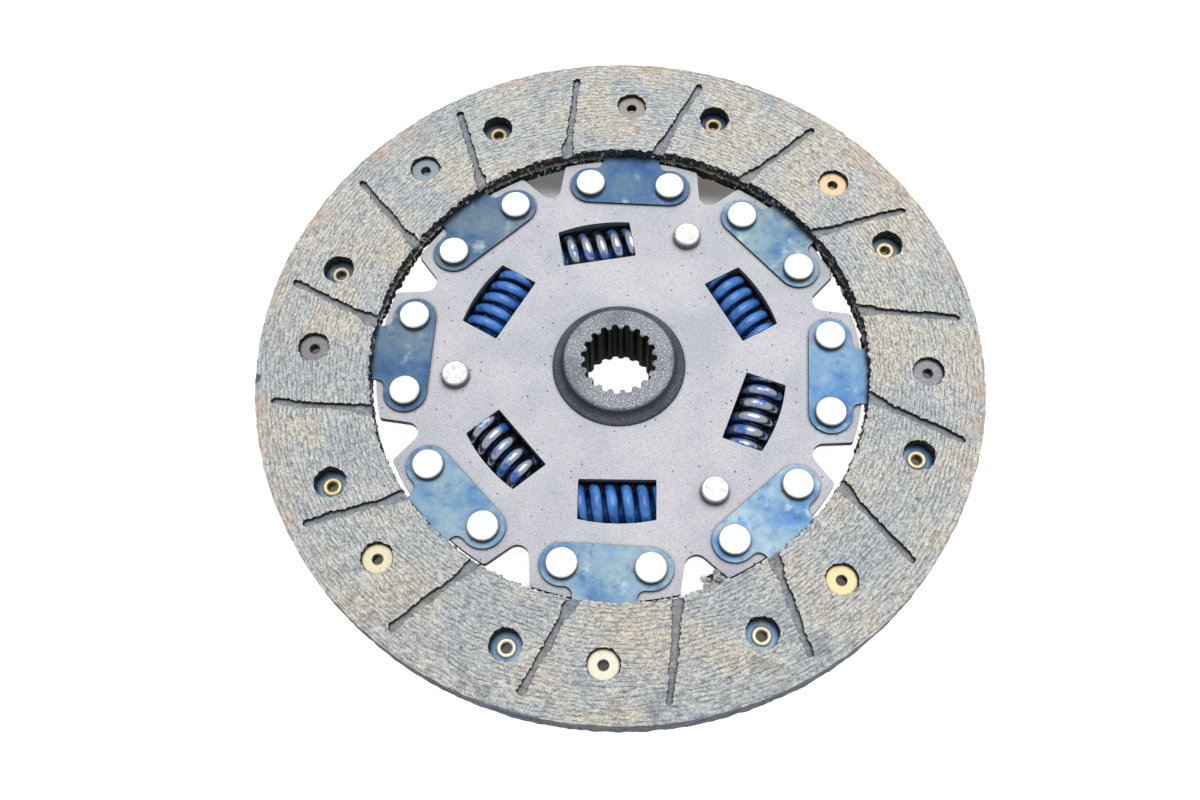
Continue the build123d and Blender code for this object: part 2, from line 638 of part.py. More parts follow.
def flange_window():
    """Window for one spring in the flange, about +X: straight sides, clear of the coil."""
    size = (2 * FLANGE_WINDOW_HALF_WIDTH, 2 * WINDOW_HALF_LENGTH)
    window = Pos(SPRING_CENTRE_DISTANCE, 0) * Rectangle(*size)
    return round_corners(window, WINDOW_CORNER_FILLET, lambda vertex: True)


def pin_slot():
    """Slot for one stop pin, about +X, open at the flange's edge and wide enough to twist in."""
    stop_angle = TWIST_LIMIT + math.degrees(
        math.asin((STOP_PIN_BODY_RADIUS + PIN_STOP_GAP) / STOP_PIN_CIRCLE_RADIUS)
    )
    floor = STOP_PIN_CIRCLE_RADIUS - STOP_PIN_BODY_RADIUS - PIN_SLOT_FLOOR_GAP
    reach = FLANGE_OUTER_RADIUS + CUT_MARGIN
    half_width = reach * math.tan(math.radians(stop_angle))
    wedge = Polygon((0, 0), (reach, -half_width), (reach, half_width), align=None)
    slot = wedge - Circle(floor)
    return round_corners(
        slot,
        SLOT_CORNER_FILLET,
        lambda vertex: abs(from_axis(vertex) - floor) < SAME_PLACE,
    )


def hub():
    blank = hub_blank()
    openings = [Rot(0, 0, angle) * flange_window() for angle in SPRING_ANGLES]
    openings += [Rot(0, 0, angle) * pin_slot() for angle in PIN_ANGLES]
    for opening in openings:
        cutter = Pos(0, 0, Z_FLANGE_BOTTOM - CUT_MARGIN) * extrude(
            opening,
            FLANGE_THICKNESS + 2 * CUT_MARGIN,
        )
        blank -= cutter
    return blank - splined_bore()


# ---------------------------------------------------------------- friction pack


def flat_washer(bottom, thickness):
    ring = Circle(WASHER_OUTER_RADIUS) - Circle(HUB_BOSS_RADIUS + WASHER_BORE_CLEARANCE)
    return Pos(0, 0, bottom) * extrude(ring, thickness)


def spring_washer():
    """Conical spring, outer edge on the retainer plate and inner edge on the rear washer."""
    inner = HUB_BOSS_RADIUS + SPRING_WASHER_BORE_CLEARANCE
    outer = SPRING_WASHER_OUTER_RADIUS
    low, high = Z_RETAINER_TOP, Z_REAR_WASHER_BOTTOM
    return turned_piece(
        [
            (outer, low),
            (outer, low + SPRING_WASHER_THICKNESS),
            (inner, high),
            (inner, high - SPRING_WASHER_THICKNESS),
        ]
    )


# ---------------------------------------------------------------- write the pieces


def pieces():
    """Every node's name with its solids."""
    made = {
        "facing_front": facing_front(),
        "facing_rear": facing_rear(),
        "facing_rivets_front": Compound(children=facing_rivets_front()),
        "facing_rivets_rear": Compound(children=facing_rivets_rear()),
        "segment_rivets": Compound(children=segment_rivets()),
        "disc_plate": disc_plate(),
        "retainer_plate": retainer_plate(),
        "hub": hub(),
        "friction_washer_front": flat_washer(Z_FLANGE_TOP, FRONT_WASHER_THICKNESS),
        "friction_washer_rear": flat_washer(Z_REAR_WASHER_BOTTOM, REAR_WASHER_THICKNESS),
        "spring_washer": spring_washer(),
    }
    segment = cushion_segment()
    for k in range(SEGMENT_COUNT):
        turned = Rot(0, 0, -k * SEGMENT_STEP) * Pos(0, 0, Z_PLATE_TOP) * segment
        made[f"cushion_segment_{k + 1}"] = turned
    for k, angle in enumerate(PIN_ANGLES):
        made[f"stop_pin_{k + 1}"] = stop_pin(angle)
    for k, angle in enumerate(SPRING_ANGLES):
        made[f"damper_spring_{k + 1}"] = damper_spring(angle)
    return made


os.makedirs("parts", exist_ok=True)
for name, solid in pieces().items():
    export_step(solid, f"parts/{name}.step")
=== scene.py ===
import math
import random

import bpy
from mathutils import Matrix, Vector, noise


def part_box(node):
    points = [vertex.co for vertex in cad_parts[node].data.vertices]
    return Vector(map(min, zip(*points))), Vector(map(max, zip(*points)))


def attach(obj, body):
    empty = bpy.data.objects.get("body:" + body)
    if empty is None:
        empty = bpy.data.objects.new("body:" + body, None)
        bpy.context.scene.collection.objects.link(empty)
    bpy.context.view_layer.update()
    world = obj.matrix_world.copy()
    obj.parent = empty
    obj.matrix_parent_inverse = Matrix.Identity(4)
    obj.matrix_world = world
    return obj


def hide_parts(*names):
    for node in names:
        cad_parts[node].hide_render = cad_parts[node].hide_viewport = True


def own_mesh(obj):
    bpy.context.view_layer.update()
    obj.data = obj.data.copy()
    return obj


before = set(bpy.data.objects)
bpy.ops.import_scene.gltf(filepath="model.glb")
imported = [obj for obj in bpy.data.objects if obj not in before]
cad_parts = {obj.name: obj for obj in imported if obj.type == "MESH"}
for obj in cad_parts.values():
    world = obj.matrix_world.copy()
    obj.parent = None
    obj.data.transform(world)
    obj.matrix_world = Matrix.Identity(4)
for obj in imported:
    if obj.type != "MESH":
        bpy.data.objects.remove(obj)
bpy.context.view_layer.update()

# Driven disc of a single-plate dry clutch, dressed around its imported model. Metres; the disc's
# axis is Z, its hub stands on z = 0 and its grooved front facing looks up.

MM = 0.001

# Facings: wound yarn bound in resin, ground flat, grooved and drilled.
FACING_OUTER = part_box("facing_front")[1].x
FACING_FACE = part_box("facing_front")[1].z
FACING_BACK = {
    "facing_front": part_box("facing_front")[0].z,
    "facing_rear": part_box("facing_rear")[1].z,
}
FACING_BORE = 65.5 * MM
FACING_THICKNESS = FACING_FACE - FACING_BACK["facing_front"]
FACING_TURN_AXIS = math.radians(82.075)  # the rear facing is the front one turned over about it
FACE_ROWS = 40  # of the grid on the wear face, from the bore to the rim
WALL_ROWS = 6
RING_STEPS = 900
TINY = 0.01 * MM  # closer than this counts as the same place
GROOVES = 16
GROOVE_OFFSET = 20.7 * MM
GROOVE_WIDTH = 1.9 * MM  # at its floor
GROOVE_SLOPE = 0.05 * MM  # how much further out each side is at the top of the cutter
GROOVE_ROWS = 4
GROOVE_CUTS = (84, 6)  # of the cutter's grid, along the groove and across it
GROOVE_DEPTH = 1.25 * MM
GROOVE_START = 59.0 * MM
GROOVE_END = 88.5 * MM
GROOVE_FLARE_FROM = 65.2 * MM
GROOVE_FLARE_LENGTH = 3.6 * MM
GROOVE_FLARE = 0.7
GROOVE_FIRST_ANGLE = math.radians(-2.4)
RIVETS_PER_SIDE = 8
RIVET_CIRCLE = 80.5 * MM
RIVET_HOLE = 4.15 * MM
RIVET_SHANK_HOLE = 2.1 * MM
RIVET_HEAD_FLOOR = 1.3 * MM
HEAD_SIDE_ANGLE = 0.6
TAIL_SIDE_ANGLE = -16.45
BORE_TEAR = 0.65 * MM  # how far broken strands leave a cut edge uneven
BORE_TEAR_SIZE = 1.1 * MM
GROOVE_TEAR = 0.5 * MM
GROOVE_TEAR_SIZE = 0.95 * MM
GROOVE_WANDER = 0.45 * MM  # how far its sides stray
GROOVE_WANDER_SIZE = 6 * MM
GROOVE_FLOOR_RELIEF = 0.08 * MM
GROOVE_FLOOR_RELIEF_SIZE = 1.5 * MM
HOLE_SIDES = 48
HOLE_ROWS = 7
HOLE_TEAR = 0.42 * MM
HOLE_TEAR_SIZE = 1.1 * MM
RIM_WEAR = 0.25 * MM
RIM_WEAR_SIZE = 2.5 * MM
RIM_BURN = (-94.2 * MM, -10.8 * MM, FACING_FACE)
FACE_RELIEF = 0.07 * MM
FACE_RELIEF_SIZE = 1.4 * MM
TUFT_ARC = (-68.4, -63.2)  # where a bundle was torn out of the front facing's bore
SNAG_ARC = (148.6, 150.4)  # and where a few threads were pulled
CRUMBS = 26
CRUMB_RADIUS = (0.5, 1.1)  # mm
CRUMB_DEPTH = (0.6, 1.5)  # mm under the face
CORE_CRUMBS = 6  # big dark ones, deep in the heap
CORE_RADIUS = (1.2, 1.6)  # mm
CORE_DEPTH = (1.9, 2.3)  # mm under the face
CRUMB_ROUGHNESS = 0.5
CRUMB_ROUGHNESS_SIZE = 0.8 * MM
HEAP_REACH = (-2.9, 0.6)  # mm past the bore's edge, inward below 0
CHIP = (66.3 * MM, math.radians(-142.1))
CHIP_SIZE = 1.3 * MM
CHIP_ROUGHNESS = 0.3
CHIP_ROUGHNESS_SIZE = 0.9 * MM
STRAND_POINTS = 6
STRAND_ROOT = 0.4 * MM  # how deep in the wall a strand begins
STRAND_INWARD = (0.3, 1)
STRAND_SIDEWAYS = 1.4
STRAND_FRAYING = (0.6, 1.0)  # share of its full thickness at each point
STRAND_SWERVE = (0.7, 0.7, 0.3)  # most that a strand's heading changes at each point
STRAND_PITCH = 1.1 * MM
STRAND_DRIFT = 1.9 * MM  # how far the rows stray sideways over 9 mm, and then over 2.6 mm
STRAND_WAVER = 0.45 * MM

# Damper springs.
SPRING_ANGLES = [67.5 + 120 * pin + side * 35 for pin in range(3) for side in (1, -1)]
SPRING_CENTRE = 37.8 * MM
SPRING_AXIS_HEIGHT = 9.4 * MM
SPRING_LENGTH = 19.7 * MM
SPRING_WIRE = 1.55 * MM
SPRING_MEAN_RADIUS = 4.8 * MM
SPRING_PITCH = 4.05 * MM
WIRE_SIDES = 20
STEPS_PER_TURN = 40
SMOOTH_BELOW = math.radians(40)

HUB_BORE = 10.1 * MM
HUB_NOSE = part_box("hub")[1].z

# Stage. The floor's rings of shade lie under the disc.
FLOOR_SIZE = 6.0
FLOOR_DROP = 0.02 * MM
FLOOR_GLOW = 0.9
SHADE_MIDDLE = (0, 6 * MM, 0)
SHADE_FAR = (50 * MM, 66 * MM)
UNDER_DISC = (1 * MM, 92 * MM)
UNDER_PLATE = (20 * MM, 56 * MM)
UNDER_FACINGS = (71 * MM, 92 * MM)
AMBIENT = 0.35
LAMP_PLACE = (0.1, 0.25, 0.9)
LAMP_SIZE = 0.8
LAMP_POWER = 6.6
CAMERA_LENS = 40.2025
CAMERA_ROLL = math.radians(2.06)
CAMERA_TILT = math.radians(24.257)
CAMERA_TURN = math.radians(-5.4347)
CAMERA_OFFSET = Vector((4.9344, 10.7837, -350.4845)) * MM  # of the face's middle, as it sees it


# ------------------------------------------------------------------------------ small helpers


def linear(hex_colour):
    """Linear RGBA of an sRGB colour written as #rrggbb."""
    channels = [int(hex_colour[i : i + 2], 16) / 255 for i in (1, 3, 5)]
    return [c / 12.92 if c <= 0.04045 else ((c + 0.055) / 1.055) ** 2.4 for c in channels] + [1.0]


def per(size_mm):
    """Noise scale whose features are about that many millimetres across."""
    return 1000 / size_mm


def add_node(tree, kind, inputs=None, stops=None, **settings):
    """A shader node with its settings. An input is a value or another node's output socket."""
    made = tree.nodes.new(kind)
    for name, value in settings.items():
        setattr(made, name, value)
    if stops:
        elements = made.color_ramp.elements
        elements.remove(elements[-1])
        elements[0].position = stops[0][0]
        elements[0].color = linear(stops[0][1])
        for place, colour in stops[1:]:
            elements.new(place).color = linear(colour)
    for name, value in (inputs or {}).items():
        if isinstance(value, bpy.types.NodeSocket):
            tree.links.new(value, made.inputs[name])
        else:
            made.inputs[name].default_value = value
    return made


def new_finish(name, **sockets):
    """A new material; returns it with its tree, its Principled shader and Object coordinates."""
    material = bpy.data.materials.new(name)
    material.use_nodes = True
    tree = material.node_tree
    shader = tree.nodes["Principled BSDF"]
    for socket, value in sockets.items():
        shader.inputs[socket.replace("_", " ")].default_value = value
    coordinates = tree.nodes.new("ShaderNodeTexCoord").outputs["Object"]
    return material, tree, shader, coordinates


def select_only(obj):
    """Leave the object selected and active, in object mode."""
    bpy.ops.object.select_all(action="DESELECT")
    obj.select_set(True)
    bpy.context.view_layer.objects.active = obj


def apply_modifiers(obj):
    select_only(obj)
    for modifier in list(obj.modifiers):
        bpy.ops.object.modifier_apply(modifier=modifier.name)


def settle(obj):
    """Put the object's place into its mesh, so that its object sits at the origin."""
    select_only(obj)
    bpy.ops.object.transform_apply(location=True, rotation=True, scale=True)


def copy_of(obj, name):
    """A copy with its own mesh."""
    twin = obj.copy()
    twin.data = obj.data.copy()
    twin.name = name
    bpy.context.scene.collection.objects.link(twin)
    return twin


def join(objects, name):
    select_only(objects[0])
    for obj in objects[1:]:
        obj.select_set(True)
    bpy.ops.object.join()
    objects[0].name = name
    return objects[0]


def dress(node, *finishes):
    """Give a CAD node its finish."""
    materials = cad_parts[node].data.materials
    materials.clear()
    for finish in finishes:
        materials.append(finish)


# ------------------------------------------------------------------------------ finishes


def polar(tree, coordinates):
    """Sockets for patterns that run round the disc: the direction from the axis as a unit vector,
    and the distance from the axis in metres."""
    flat = add_node(
        tree, "ShaderNodeVectorMath", {0: coordinates, 1: (1, 1, 0)}, operation="MULTIPLY"
    ).outputs[0]
    direction = add_node(tree, "ShaderNodeVectorMath", {0: flat}, operation="NORMALIZE")
    radius = add_node(tree, "ShaderNodeVectorMath", {0: flat}, operation="LENGTH")
    return direction.outputs[0], radius.outputs["Value"]


def along_the_winding(tree, direction, radius, length_mm, width_mm):
    """Coordinates in which a noise of scale 1 is that long round the disc and that wide across."""
    arc = add_node(
        tree,
        "ShaderNodeVectorMath",
        {0: direction, "Scale": RIVET_CIRCLE / MM / length_mm},
        operation="SCALE",
    )
    across = math_node(tree, "MULTIPLY", radius, per(width_mm))
    lifted = add_node(tree, "ShaderNodeCombineXYZ", {"Z": across})
    return add_node(
        tree, "ShaderNodeVectorMath", {0: arc.outputs[0], 1: lifted.outputs[0]}, operation="ADD"
    ).outputs[0]


def math_node(tree, operation, *values):
    return add_node(
        tree, "ShaderNodeMath", dict(enumerate(values)), operation=operation
    ).outputs[0]


def noise_node(tree, vector, scale, detail=2.0, roughness=0.5):
    return add_node(
        tree,
        "ShaderNodeTexNoise",
        {"Vector": vector, "Scale": scale, "Detail": detail, "Roughness": roughness},
    ).outputs["Fac"]


def ramp(tree, value, *stops, interpolation="LINEAR"):
    """Colours along a value; each stop is a place and a colour."""
    made = add_node(tree, "ShaderNodeValToRGB", {"Fac": value}, stops=stops)
    made.color_ramp.interpolation = interpolation
    return made.outputs["Color"]


def rise(tree, value, low, high, top=1.0):
    """0 below low and top above high, with a soft step between; falls if low is above high."""
    return add_node(
        tree,
        "ShaderNodeMapRange",
        {"Value": value, "From Min": low, "From Max": high, "To Max": top},
        interpolation_type="SMOOTHSTEP",
    ).outputs["Result"]


def band(tree, value, low, high):
    """1 between two distances and 0 outside them, with edges 2 mm soft."""
    rising = rise(tree, value, low - 1 * MM, low + 1 * MM)
    falling = rise(tree, value, high + 1 * MM, high - 1 * MM)
    return math_node(tree, "MULTIPLY", rising, falling)


def mix(tree, share, under, over, blend="MIX"):
    """Colour under, covered by colour over by that share."""
    colours = {"A": under, "B": over}
    for name, colour in colours.items():
        if isinstance(colour, str):
            colours[name] = linear(colour)
    return add_node(
        tree,
        "ShaderNodeMix",
        {"Factor": share, **colours},
        data_type="RGBA",
        blend_type=blend,
    ).outputs["Result"]


def bump(tree, shader, height, depth_mm, strength=1.0):
    made = add_node(
        tree,
        "ShaderNodeBump",
        {"Height": height, "Strength": strength, "Distance": depth_mm * MM},
    )
    tree.links.new(made.outputs[0], shader.inputs["Normal"])


def upwardness(tree):
    """1 where the surface looks up, 0 on upright walls and -1 where it looks down."""
    normal = tree.nodes.new("ShaderNodeTexCoord").outputs["Normal"]
    return add_node(tree, "ShaderNodeSeparateXYZ", {"Vector": normal}).outputs["Z"]


def steepness(tree):
    """1 on upright walls and 0 on faces that look up or down."""
    return rise(tree, math_node(tree, "ABSOLUTE", upwardness(tree)), 0.85, 0.45)


def painted_shade_in_corners(tree, colour, shade_colour, reach_mm, strength):
    """Painted shade where two surfaces meet: darkest deep in corners, creases and gaps between
    parts.
    """
    open_sky = add_node(
        tree, "ShaderNodeAmbientOcclusion", {"Distance": reach_mm * MM}, samples=6
    ).outputs["AO"]
    return mix(tree, rise(tree, open_sky, 0.95, 0.45, strength), colour, shade_colour)


def wound_yarn(tree, coordinates):
    """Colour and height of wound yarn: short pale strands side by side in rows round the disc,
    blue-grey resin between the rows."""
    direction, radius = polar(tree, coordinates)
    drift = noise_node(tree, along_the_winding(tree, direction, radius, 9.0, 7.0), 1.0, 1.0)
    waver = noise_node(tree, along_the_winding(tree, direction, radius, 2.6, 2.2), 1.0, 1.0)
    laid = math_node(tree, "MULTIPLY_ADD", drift, STRAND_DRIFT, radius)
    laid = math_node(tree, "MULTIPLY_ADD", waver, STRAND_WAVER, laid)

    row = math_node(tree, "PINGPONG", math_node(tree, "DIVIDE", laid, STRAND_PITCH), 0.5)
    patchiness = noise_node(tree, along_the_winding(tree, direction, laid, 4.0, 1.3), 1.0, 2.0)
    seam = math_node(
        tree, "MULTIPLY", rise(tree, row, 0.17, 0.02), rise(tree, patchiness, 0.40, 0.54)
    )
    grain = noise_node(tree, along_the_winding(tree, direction, laid, 1.7, 0.55), 1.0, 4.0, 0.7)
    height = math_node(tree, "MULTIPLY_ADD", seam, -0.25, grain)
    colour = ramp(
        tree,
        grain,
        (0.30, "#868d97"),
        (0.40, "#bac0c6"),
        (0.48, "#deded9"),
        (0.56, "#f7f1e4"),
        (0.66, "#fffcf2"),
    )
    colour = mix(tree, math_node(tree, "MULTIPLY", seam, 0.6), colour, "#626c7c")
    motes = noise_node(tree, coordinates, per(0.5), 2.0, 0.7)
    dust = ramp(tree, motes, (0.36, "#c4c7cb"), (0.55, "#ffffff"))
    colour = mix(tree, 1.0, colour, dust, "MULTIPLY")

    # Bluish glaze and cream patches, 15 to 25 mm across.
    patches = noise_node(tree, coordinates, per(20), 3.0)
    tint = ramp(tree, patches, (0.40, "#e8eff7"), (0.5, "#f8fafc"), (0.60, "#fffaf2"))
    colour = mix(tree, 1.0, colour, tint, "MULTIPLY")

    # Wire ground open, and charred specks.
    flecks = noise_node(tree, along_the_winding(tree, direction, laid, 3.4, 0.9), 1.3, 1.0)
    colour = mix(tree, rise(tree, flecks, 0.72, 0.77, 0.6), colour, "#dcb79a")
    specks = noise_node(tree, coordinates, per(1.1), 1.0)
    colour = mix(tree, rise(tree, specks, 0.74, 0.80, 0.7), colour, "#3c424c")
    return colour, height, radius


def wound_yarn_face():
    """Ground face of a wound facing, with rust that creeps in from the rim."""
    material, tree, shader, coordinates = new_finish("wound_yarn_face", Roughness=0.9, IOR=1.45)
    colour, height, radius = wound_yarn(tree, coordinates)
    rim = rise(tree, radius, FACING_OUTER - 9 * MM, FACING_OUTER - 0.5 * MM)
    blotches = noise_node(tree, coordinates, per(7), 5.0)
    side = add_node(tree, "ShaderNodeSeparateXYZ", {"Vector": coordinates}).outputs["Y"]
    rust = math_node(tree, "MULTIPLY", rim, rise(tree, blotches, 0.45, 0.66, 0.45))
    rust = math_node(tree, "MULTIPLY", rust, rise(tree, side, -75 * MM, -30 * MM))
    colour = mix(tree, rust, colour, "#d6b49e")
    # Slate blotches where it is stained, low on the other side.
    stained = rise(tree, noise_node(tree, coordinates, per(5), 5.0, 0.65), 0.5, 0.68, 0.5)
    stained = math_node(tree, "MULTIPLY", stained, rise(tree, side, -30 * MM, -75 * MM))
    outer_half = rise(tree, radius, FACING_OUTER - 20 * MM, FACING_OUTER - 4 * MM)
    stained = math_node(tree, "MULTIPLY", stained, outer_half)
    colour = mix(tree, stained, colour, "#677080")
    # A burn at the rim.
    offset = add_node(
        tree, "ShaderNodeVectorMath", {0: coordinates, 1: RIM_BURN}, operation="DISTANCE"
    ).outputs["Value"]
    spread = math_node(tree, "MULTIPLY_ADD", blotches, -3 * MM, offset)
    colour = mix(tree, rise(tree, spread, 0.5 * MM, -0.2 * MM, 0.85), colour, "#3a3f49")
    tree.links.new(colour, shader.inputs["Base Color"])
    bump(tree, shader, height, 0.3)
    return material


def groove_floor():
    """Floor of a sawn groove: the same yarn, smeared over with blue-grey dust, with painted shade
    next to its walls.
    """
    material, tree, shader, coordinates = new_finish("groove_floor", Roughness=0.85, IOR=1.45)
    colour, height, _ = wound_yarn(tree, coordinates)
    dust = noise_node(tree, coordinates, per(2.0), 4.0)
    dusty = ramp(tree, dust, (0.35, "#6b727d"), (0.55, "#8a909b"), (0.7, "#a9adb5"))
    colour = mix(tree, 0.72, colour, dusty)
    # Painted shade near the groove's walls.
    colour = painted_shade_in_corners(tree, colour, "#3a404a", 0.6, 0.85)
    tree.links.new(colour, shader.inputs["Base Color"])
    bump(tree, shader, height, 0.2)
    return material


def torn_yarn_edge():
    """Cut or torn edge of the facing: near-black resin with broken pale strand ends."""
    material, tree, shader, coordinates = new_finish("torn_yarn_edge", Roughness=0.95, IOR=1.45)
    ends = noise_node(tree, coordinates, per(0.9), 4.0, 0.7)
    colour = ramp(
        tree, ends, (0.35, "#14161a"), (0.52, "#282c32"), (0.63, "#50555c"), (0.76, "#8d9092")
    )
    rust = noise_node(tree, coordinates, per(4.5), 2.0)
    colour = mix(tree, rise(tree, rust, 0.66, 0.72, 0.7), colour, "#93603f")
    tree.links.new(colour, shader.inputs["Base Color"])
    bump(tree, shader, ends, 0.4)
    return material


def loose_strand():
    """Pale cotton and glass strands pulled out of the resin."""
    material, tree, shader, coordinates = new_finish("loose_strand", Roughness=0.9, IOR=1.45)
    tone = noise_node(tree, coordinates, per(1.5), 3.0)
    colour = ramp(tree, tone, (0.35, "#8d9096"), (0.5, "#c2bfb7"), (0.62, "#efe8d8"))
    tree.links.new(colour, shader.inputs["Base Color"])
    return material


def moulded_rim():
    """Outer edge of the facing: pressed smooth in the mould, slate grey with faint rust."""
    material, tree, shader, coordinates = new_finish("moulded_rim", Roughness=0.7, IOR=1.45)
    direction, radius = polar(tree, coordinates)
    height = add_node(tree, "ShaderNodeSeparateXYZ", {"Vector": coordinates}).outputs["Z"]
    layers = noise_node(tree, along_the_winding(tree, direction, height, 6.0, 0.5), 1.0, 3.0)
    colour = ramp(
        tree, layers, (0.35, "#2c3441"), (0.5, "#4b5463"), (0.62, "#6f7785"), (0.74, "#8f8680")
    )
    tree.links.new(colour, shader.inputs["Base Color"])
    bump(tree, shader, layers, 0.15)
    return material


def phosphated_steel():
    """Pressed steel under zinc phosphate: matt grey with a violet cast, peppered with dark pits,
    with painted shade in its corners and on its sheared edges."""
    material, tree, shader, coordinates = new_finish(
        "phosphated_steel", Roughness=0.65, Metallic=0.1
    )
    cloud = noise_node(tree, coordinates, per(18), 5.0, 0.6)
    colour = ramp(tree, cloud, (0.35, "#c3c5cd"), (0.5, "#cfd0d7"), (0.65, "#d8d7dc"))
    grain = noise_node(tree, coordinates, per(0.45), 3.0, 0.7)
    grey = ramp(tree, grain, (0.35, "#dfdfe1"), (0.55, "#ffffff"))
    colour = mix(tree, 1.0, colour, grey, "MULTIPLY")
    # A pit in about every third 1.3 mm cell, up to 0.6 mm across and mostly far smaller.
    pits = add_node(tree, "ShaderNodeTexVoronoi", {"Vector": coordinates, "Scale": per(1.3)})
    cell = add_node(tree, "ShaderNodeSeparateColor", {"Color": pits.outputs["Color"]})
    chance = cell.outputs["Red"]
    edge = math_node(tree, "MULTIPLY", rise(tree, chance, 0.66, 1.0), 0.22)
    inside = math_node(tree, "LESS_THAN", pits.outputs["Distance"], edge)
    colour = mix(tree, math_node(tree, "MULTIPLY", inside, 0.75), colour, "#3f3e46")
    # Painted shade in corners and crevices.
    colour = painted_shade_in_corners(tree, colour, "#2e3036", 1.0, 0.9)
    # Painted shade on upright walls such as the sheared edges.
    colour = mix(tree, math_node(tree, "MULTIPLY", steepness(tree), 0.85), colour, "#34373d")
    tree.links.new(colour, shader.inputs["Base Color"])
    bump(tree, shader, grain, 0.06, 0.5)
    return material


def tempered_spring_steel(name, cast, deep):
    """Hardened strip tempered blue: a patchy oxide from teal to deep blue and violet, with dull
    rubbed spots, and painted shade on its sheared edges and in its corners. Each strip came out in
    a cast of its own, which also holds painted light; deep is how much of it went on to a deep
    blue."""
    material, tree, shader, coordinates = new_finish(name, Metallic=0.85)
    oxide = noise_node(tree, coordinates, per(15), 5.0, 0.65)
    colour = ramp(
        tree,
        oxide,
        (0.30, "#3a619a"),
        (0.42, "#5c81a4"),
        (0.50, "#7491aa"),
        (0.60, "#829dab"),
        (0.72, "#8b8ea4"),
    )
    # The strip's cast, with painted light in it: mostly darker on the strips towards the top of
    # the disc.
    colour = mix(tree, 1.0, colour, cast, "MULTIPLY")
    streaks = noise_node(tree, coordinates, per(2.2), 5.0, 0.65)
    colour = mix(tree, rise(tree, streaks, 0.53, 0.72, 0.55), colour, "#33507f")
    overheated = noise_node(tree, coordinates, per(4), 5.0, 0.7)
    colour = mix(tree, rise(tree, overheated, 0.66 - deep, 0.82 - deep, 0.75), colour, "#3465b4")
    bloom = noise_node(tree, coordinates, per(6.5), 3.0, 0.6)
    colour = mix(tree, rise(tree, bloom, 0.58, 0.76, 0.42), colour, "#a9b8aa")
    # Painted shade in corners and crevices.
    colour = painted_shade_in_corners(tree, colour, "#26303c", 1.2, 0.75)
    # Painted shade on upright walls such as the sheared edges.
    colour = mix(tree, math_node(tree, "MULTIPLY", steepness(tree), 0.9), colour, "#262d38")
    tree.links.new(colour, shader.inputs["Base Color"])
    rough = math_node(tree, "MULTIPLY_ADD", streaks, 0.25, 0.3)
    tree.links.new(rough, shader.inputs["Roughness"])
    return material


def zinc_plate(name, light, dark, wall):
    """White zinc plate on a headed rivet: mottled metal with a shadowed grey side."""
    material, tree, shader, coordinates = new_finish(name, Roughness=0.4, Metallic=0.35)
    mottle = noise_node(tree, coordinates, per(1.3), 4.0, 0.6)
    colour = ramp(tree, mottle, (0.35, dark), (0.6, light))
    colour = mix(tree, math_node(tree, "MULTIPLY", steepness(tree), 0.9), colour, wall)
    tree.links.new(colour, shader.inputs["Base Color"])
    return material


def formed_brass(name, first_angle, tarnish, rings, verdigris):
    """Tubular rivets on the facings' rivet circle. Each has its own tarnish; rings are colours by
    distance in millimetres from a rivet's own axis: painted shade black in its bore, darker at its
    rim."""
    material, tree, shader, coordinates = new_finish(name, Roughness=0.45, Metallic=0.4)
    parts = add_node(tree, "ShaderNodeSeparateXYZ", {"Vector": coordinates})
    angle = math_node(tree, "ARCTAN2", parts.outputs["Y"], parts.outputs["X"])
    step = 2 * math.pi / RIVETS_PER_SIDE
    count = math_node(tree, "DIVIDE", angle, step)
    offset = RIVETS_PER_SIDE + 0.5 - math.radians(first_angle) / step
    shifted = math_node(tree, "ADD", count, offset)
    off_middle = math_node(tree, "SUBTRACT", math_node(tree, "FRACT", shifted), 0.5)
    sideways = math_node(tree, "MULTIPLY", off_middle, step * RIVET_CIRCLE)
    _, radius = polar(tree, coordinates)
    outward = math_node(tree, "SUBTRACT", radius, RIVET_CIRCLE)
    place = add_node(tree, "ShaderNodeCombineXYZ", {"X": sideways, "Y": outward})
    distance = add_node(
        tree, "ShaderNodeVectorMath", {0: place.outputs[0]}, operation="LENGTH"
    ).outputs["Value"]
    which = math_node(tree, "FRACT", math_node(tree, "DIVIDE", shifted, RIVETS_PER_SIDE))
    stops = [(k / RIVETS_PER_SIDE, colour) for k, colour in enumerate(tarnish)]
    colour = ramp(tree, which, *stops, interpolation="CONSTANT")
    reach_mm = 5
    # Painted shade by distance from the rivet's axis: black in its bore, darker towards its rim.
    shade = ramp(
        tree,
        math_node(tree, "MULTIPLY", distance, 1 / (reach_mm * MM)),
        *[(millimetres / reach_mm, tone) for millimetres, tone in rings],
    )
    colour = mix(tree, 1.0, colour, shade, "MULTIPLY")
    grime = noise_node(tree, coordinates, per(1.4), 4.0, 0.65)
    colour = mix(tree, rise(tree, grime, 0.55, 0.72, 0.5), colour, "#6b5a48")
    crystals = noise_node(tree, coordinates, per(0.7), 3.0, 0.7)
    colour = mix(tree, rise(tree, crystals, 0.58, 0.66, verdigris), colour, "#a9c2cf")
    tree.links.new(colour, shader.inputs["Base Color"])
    return material


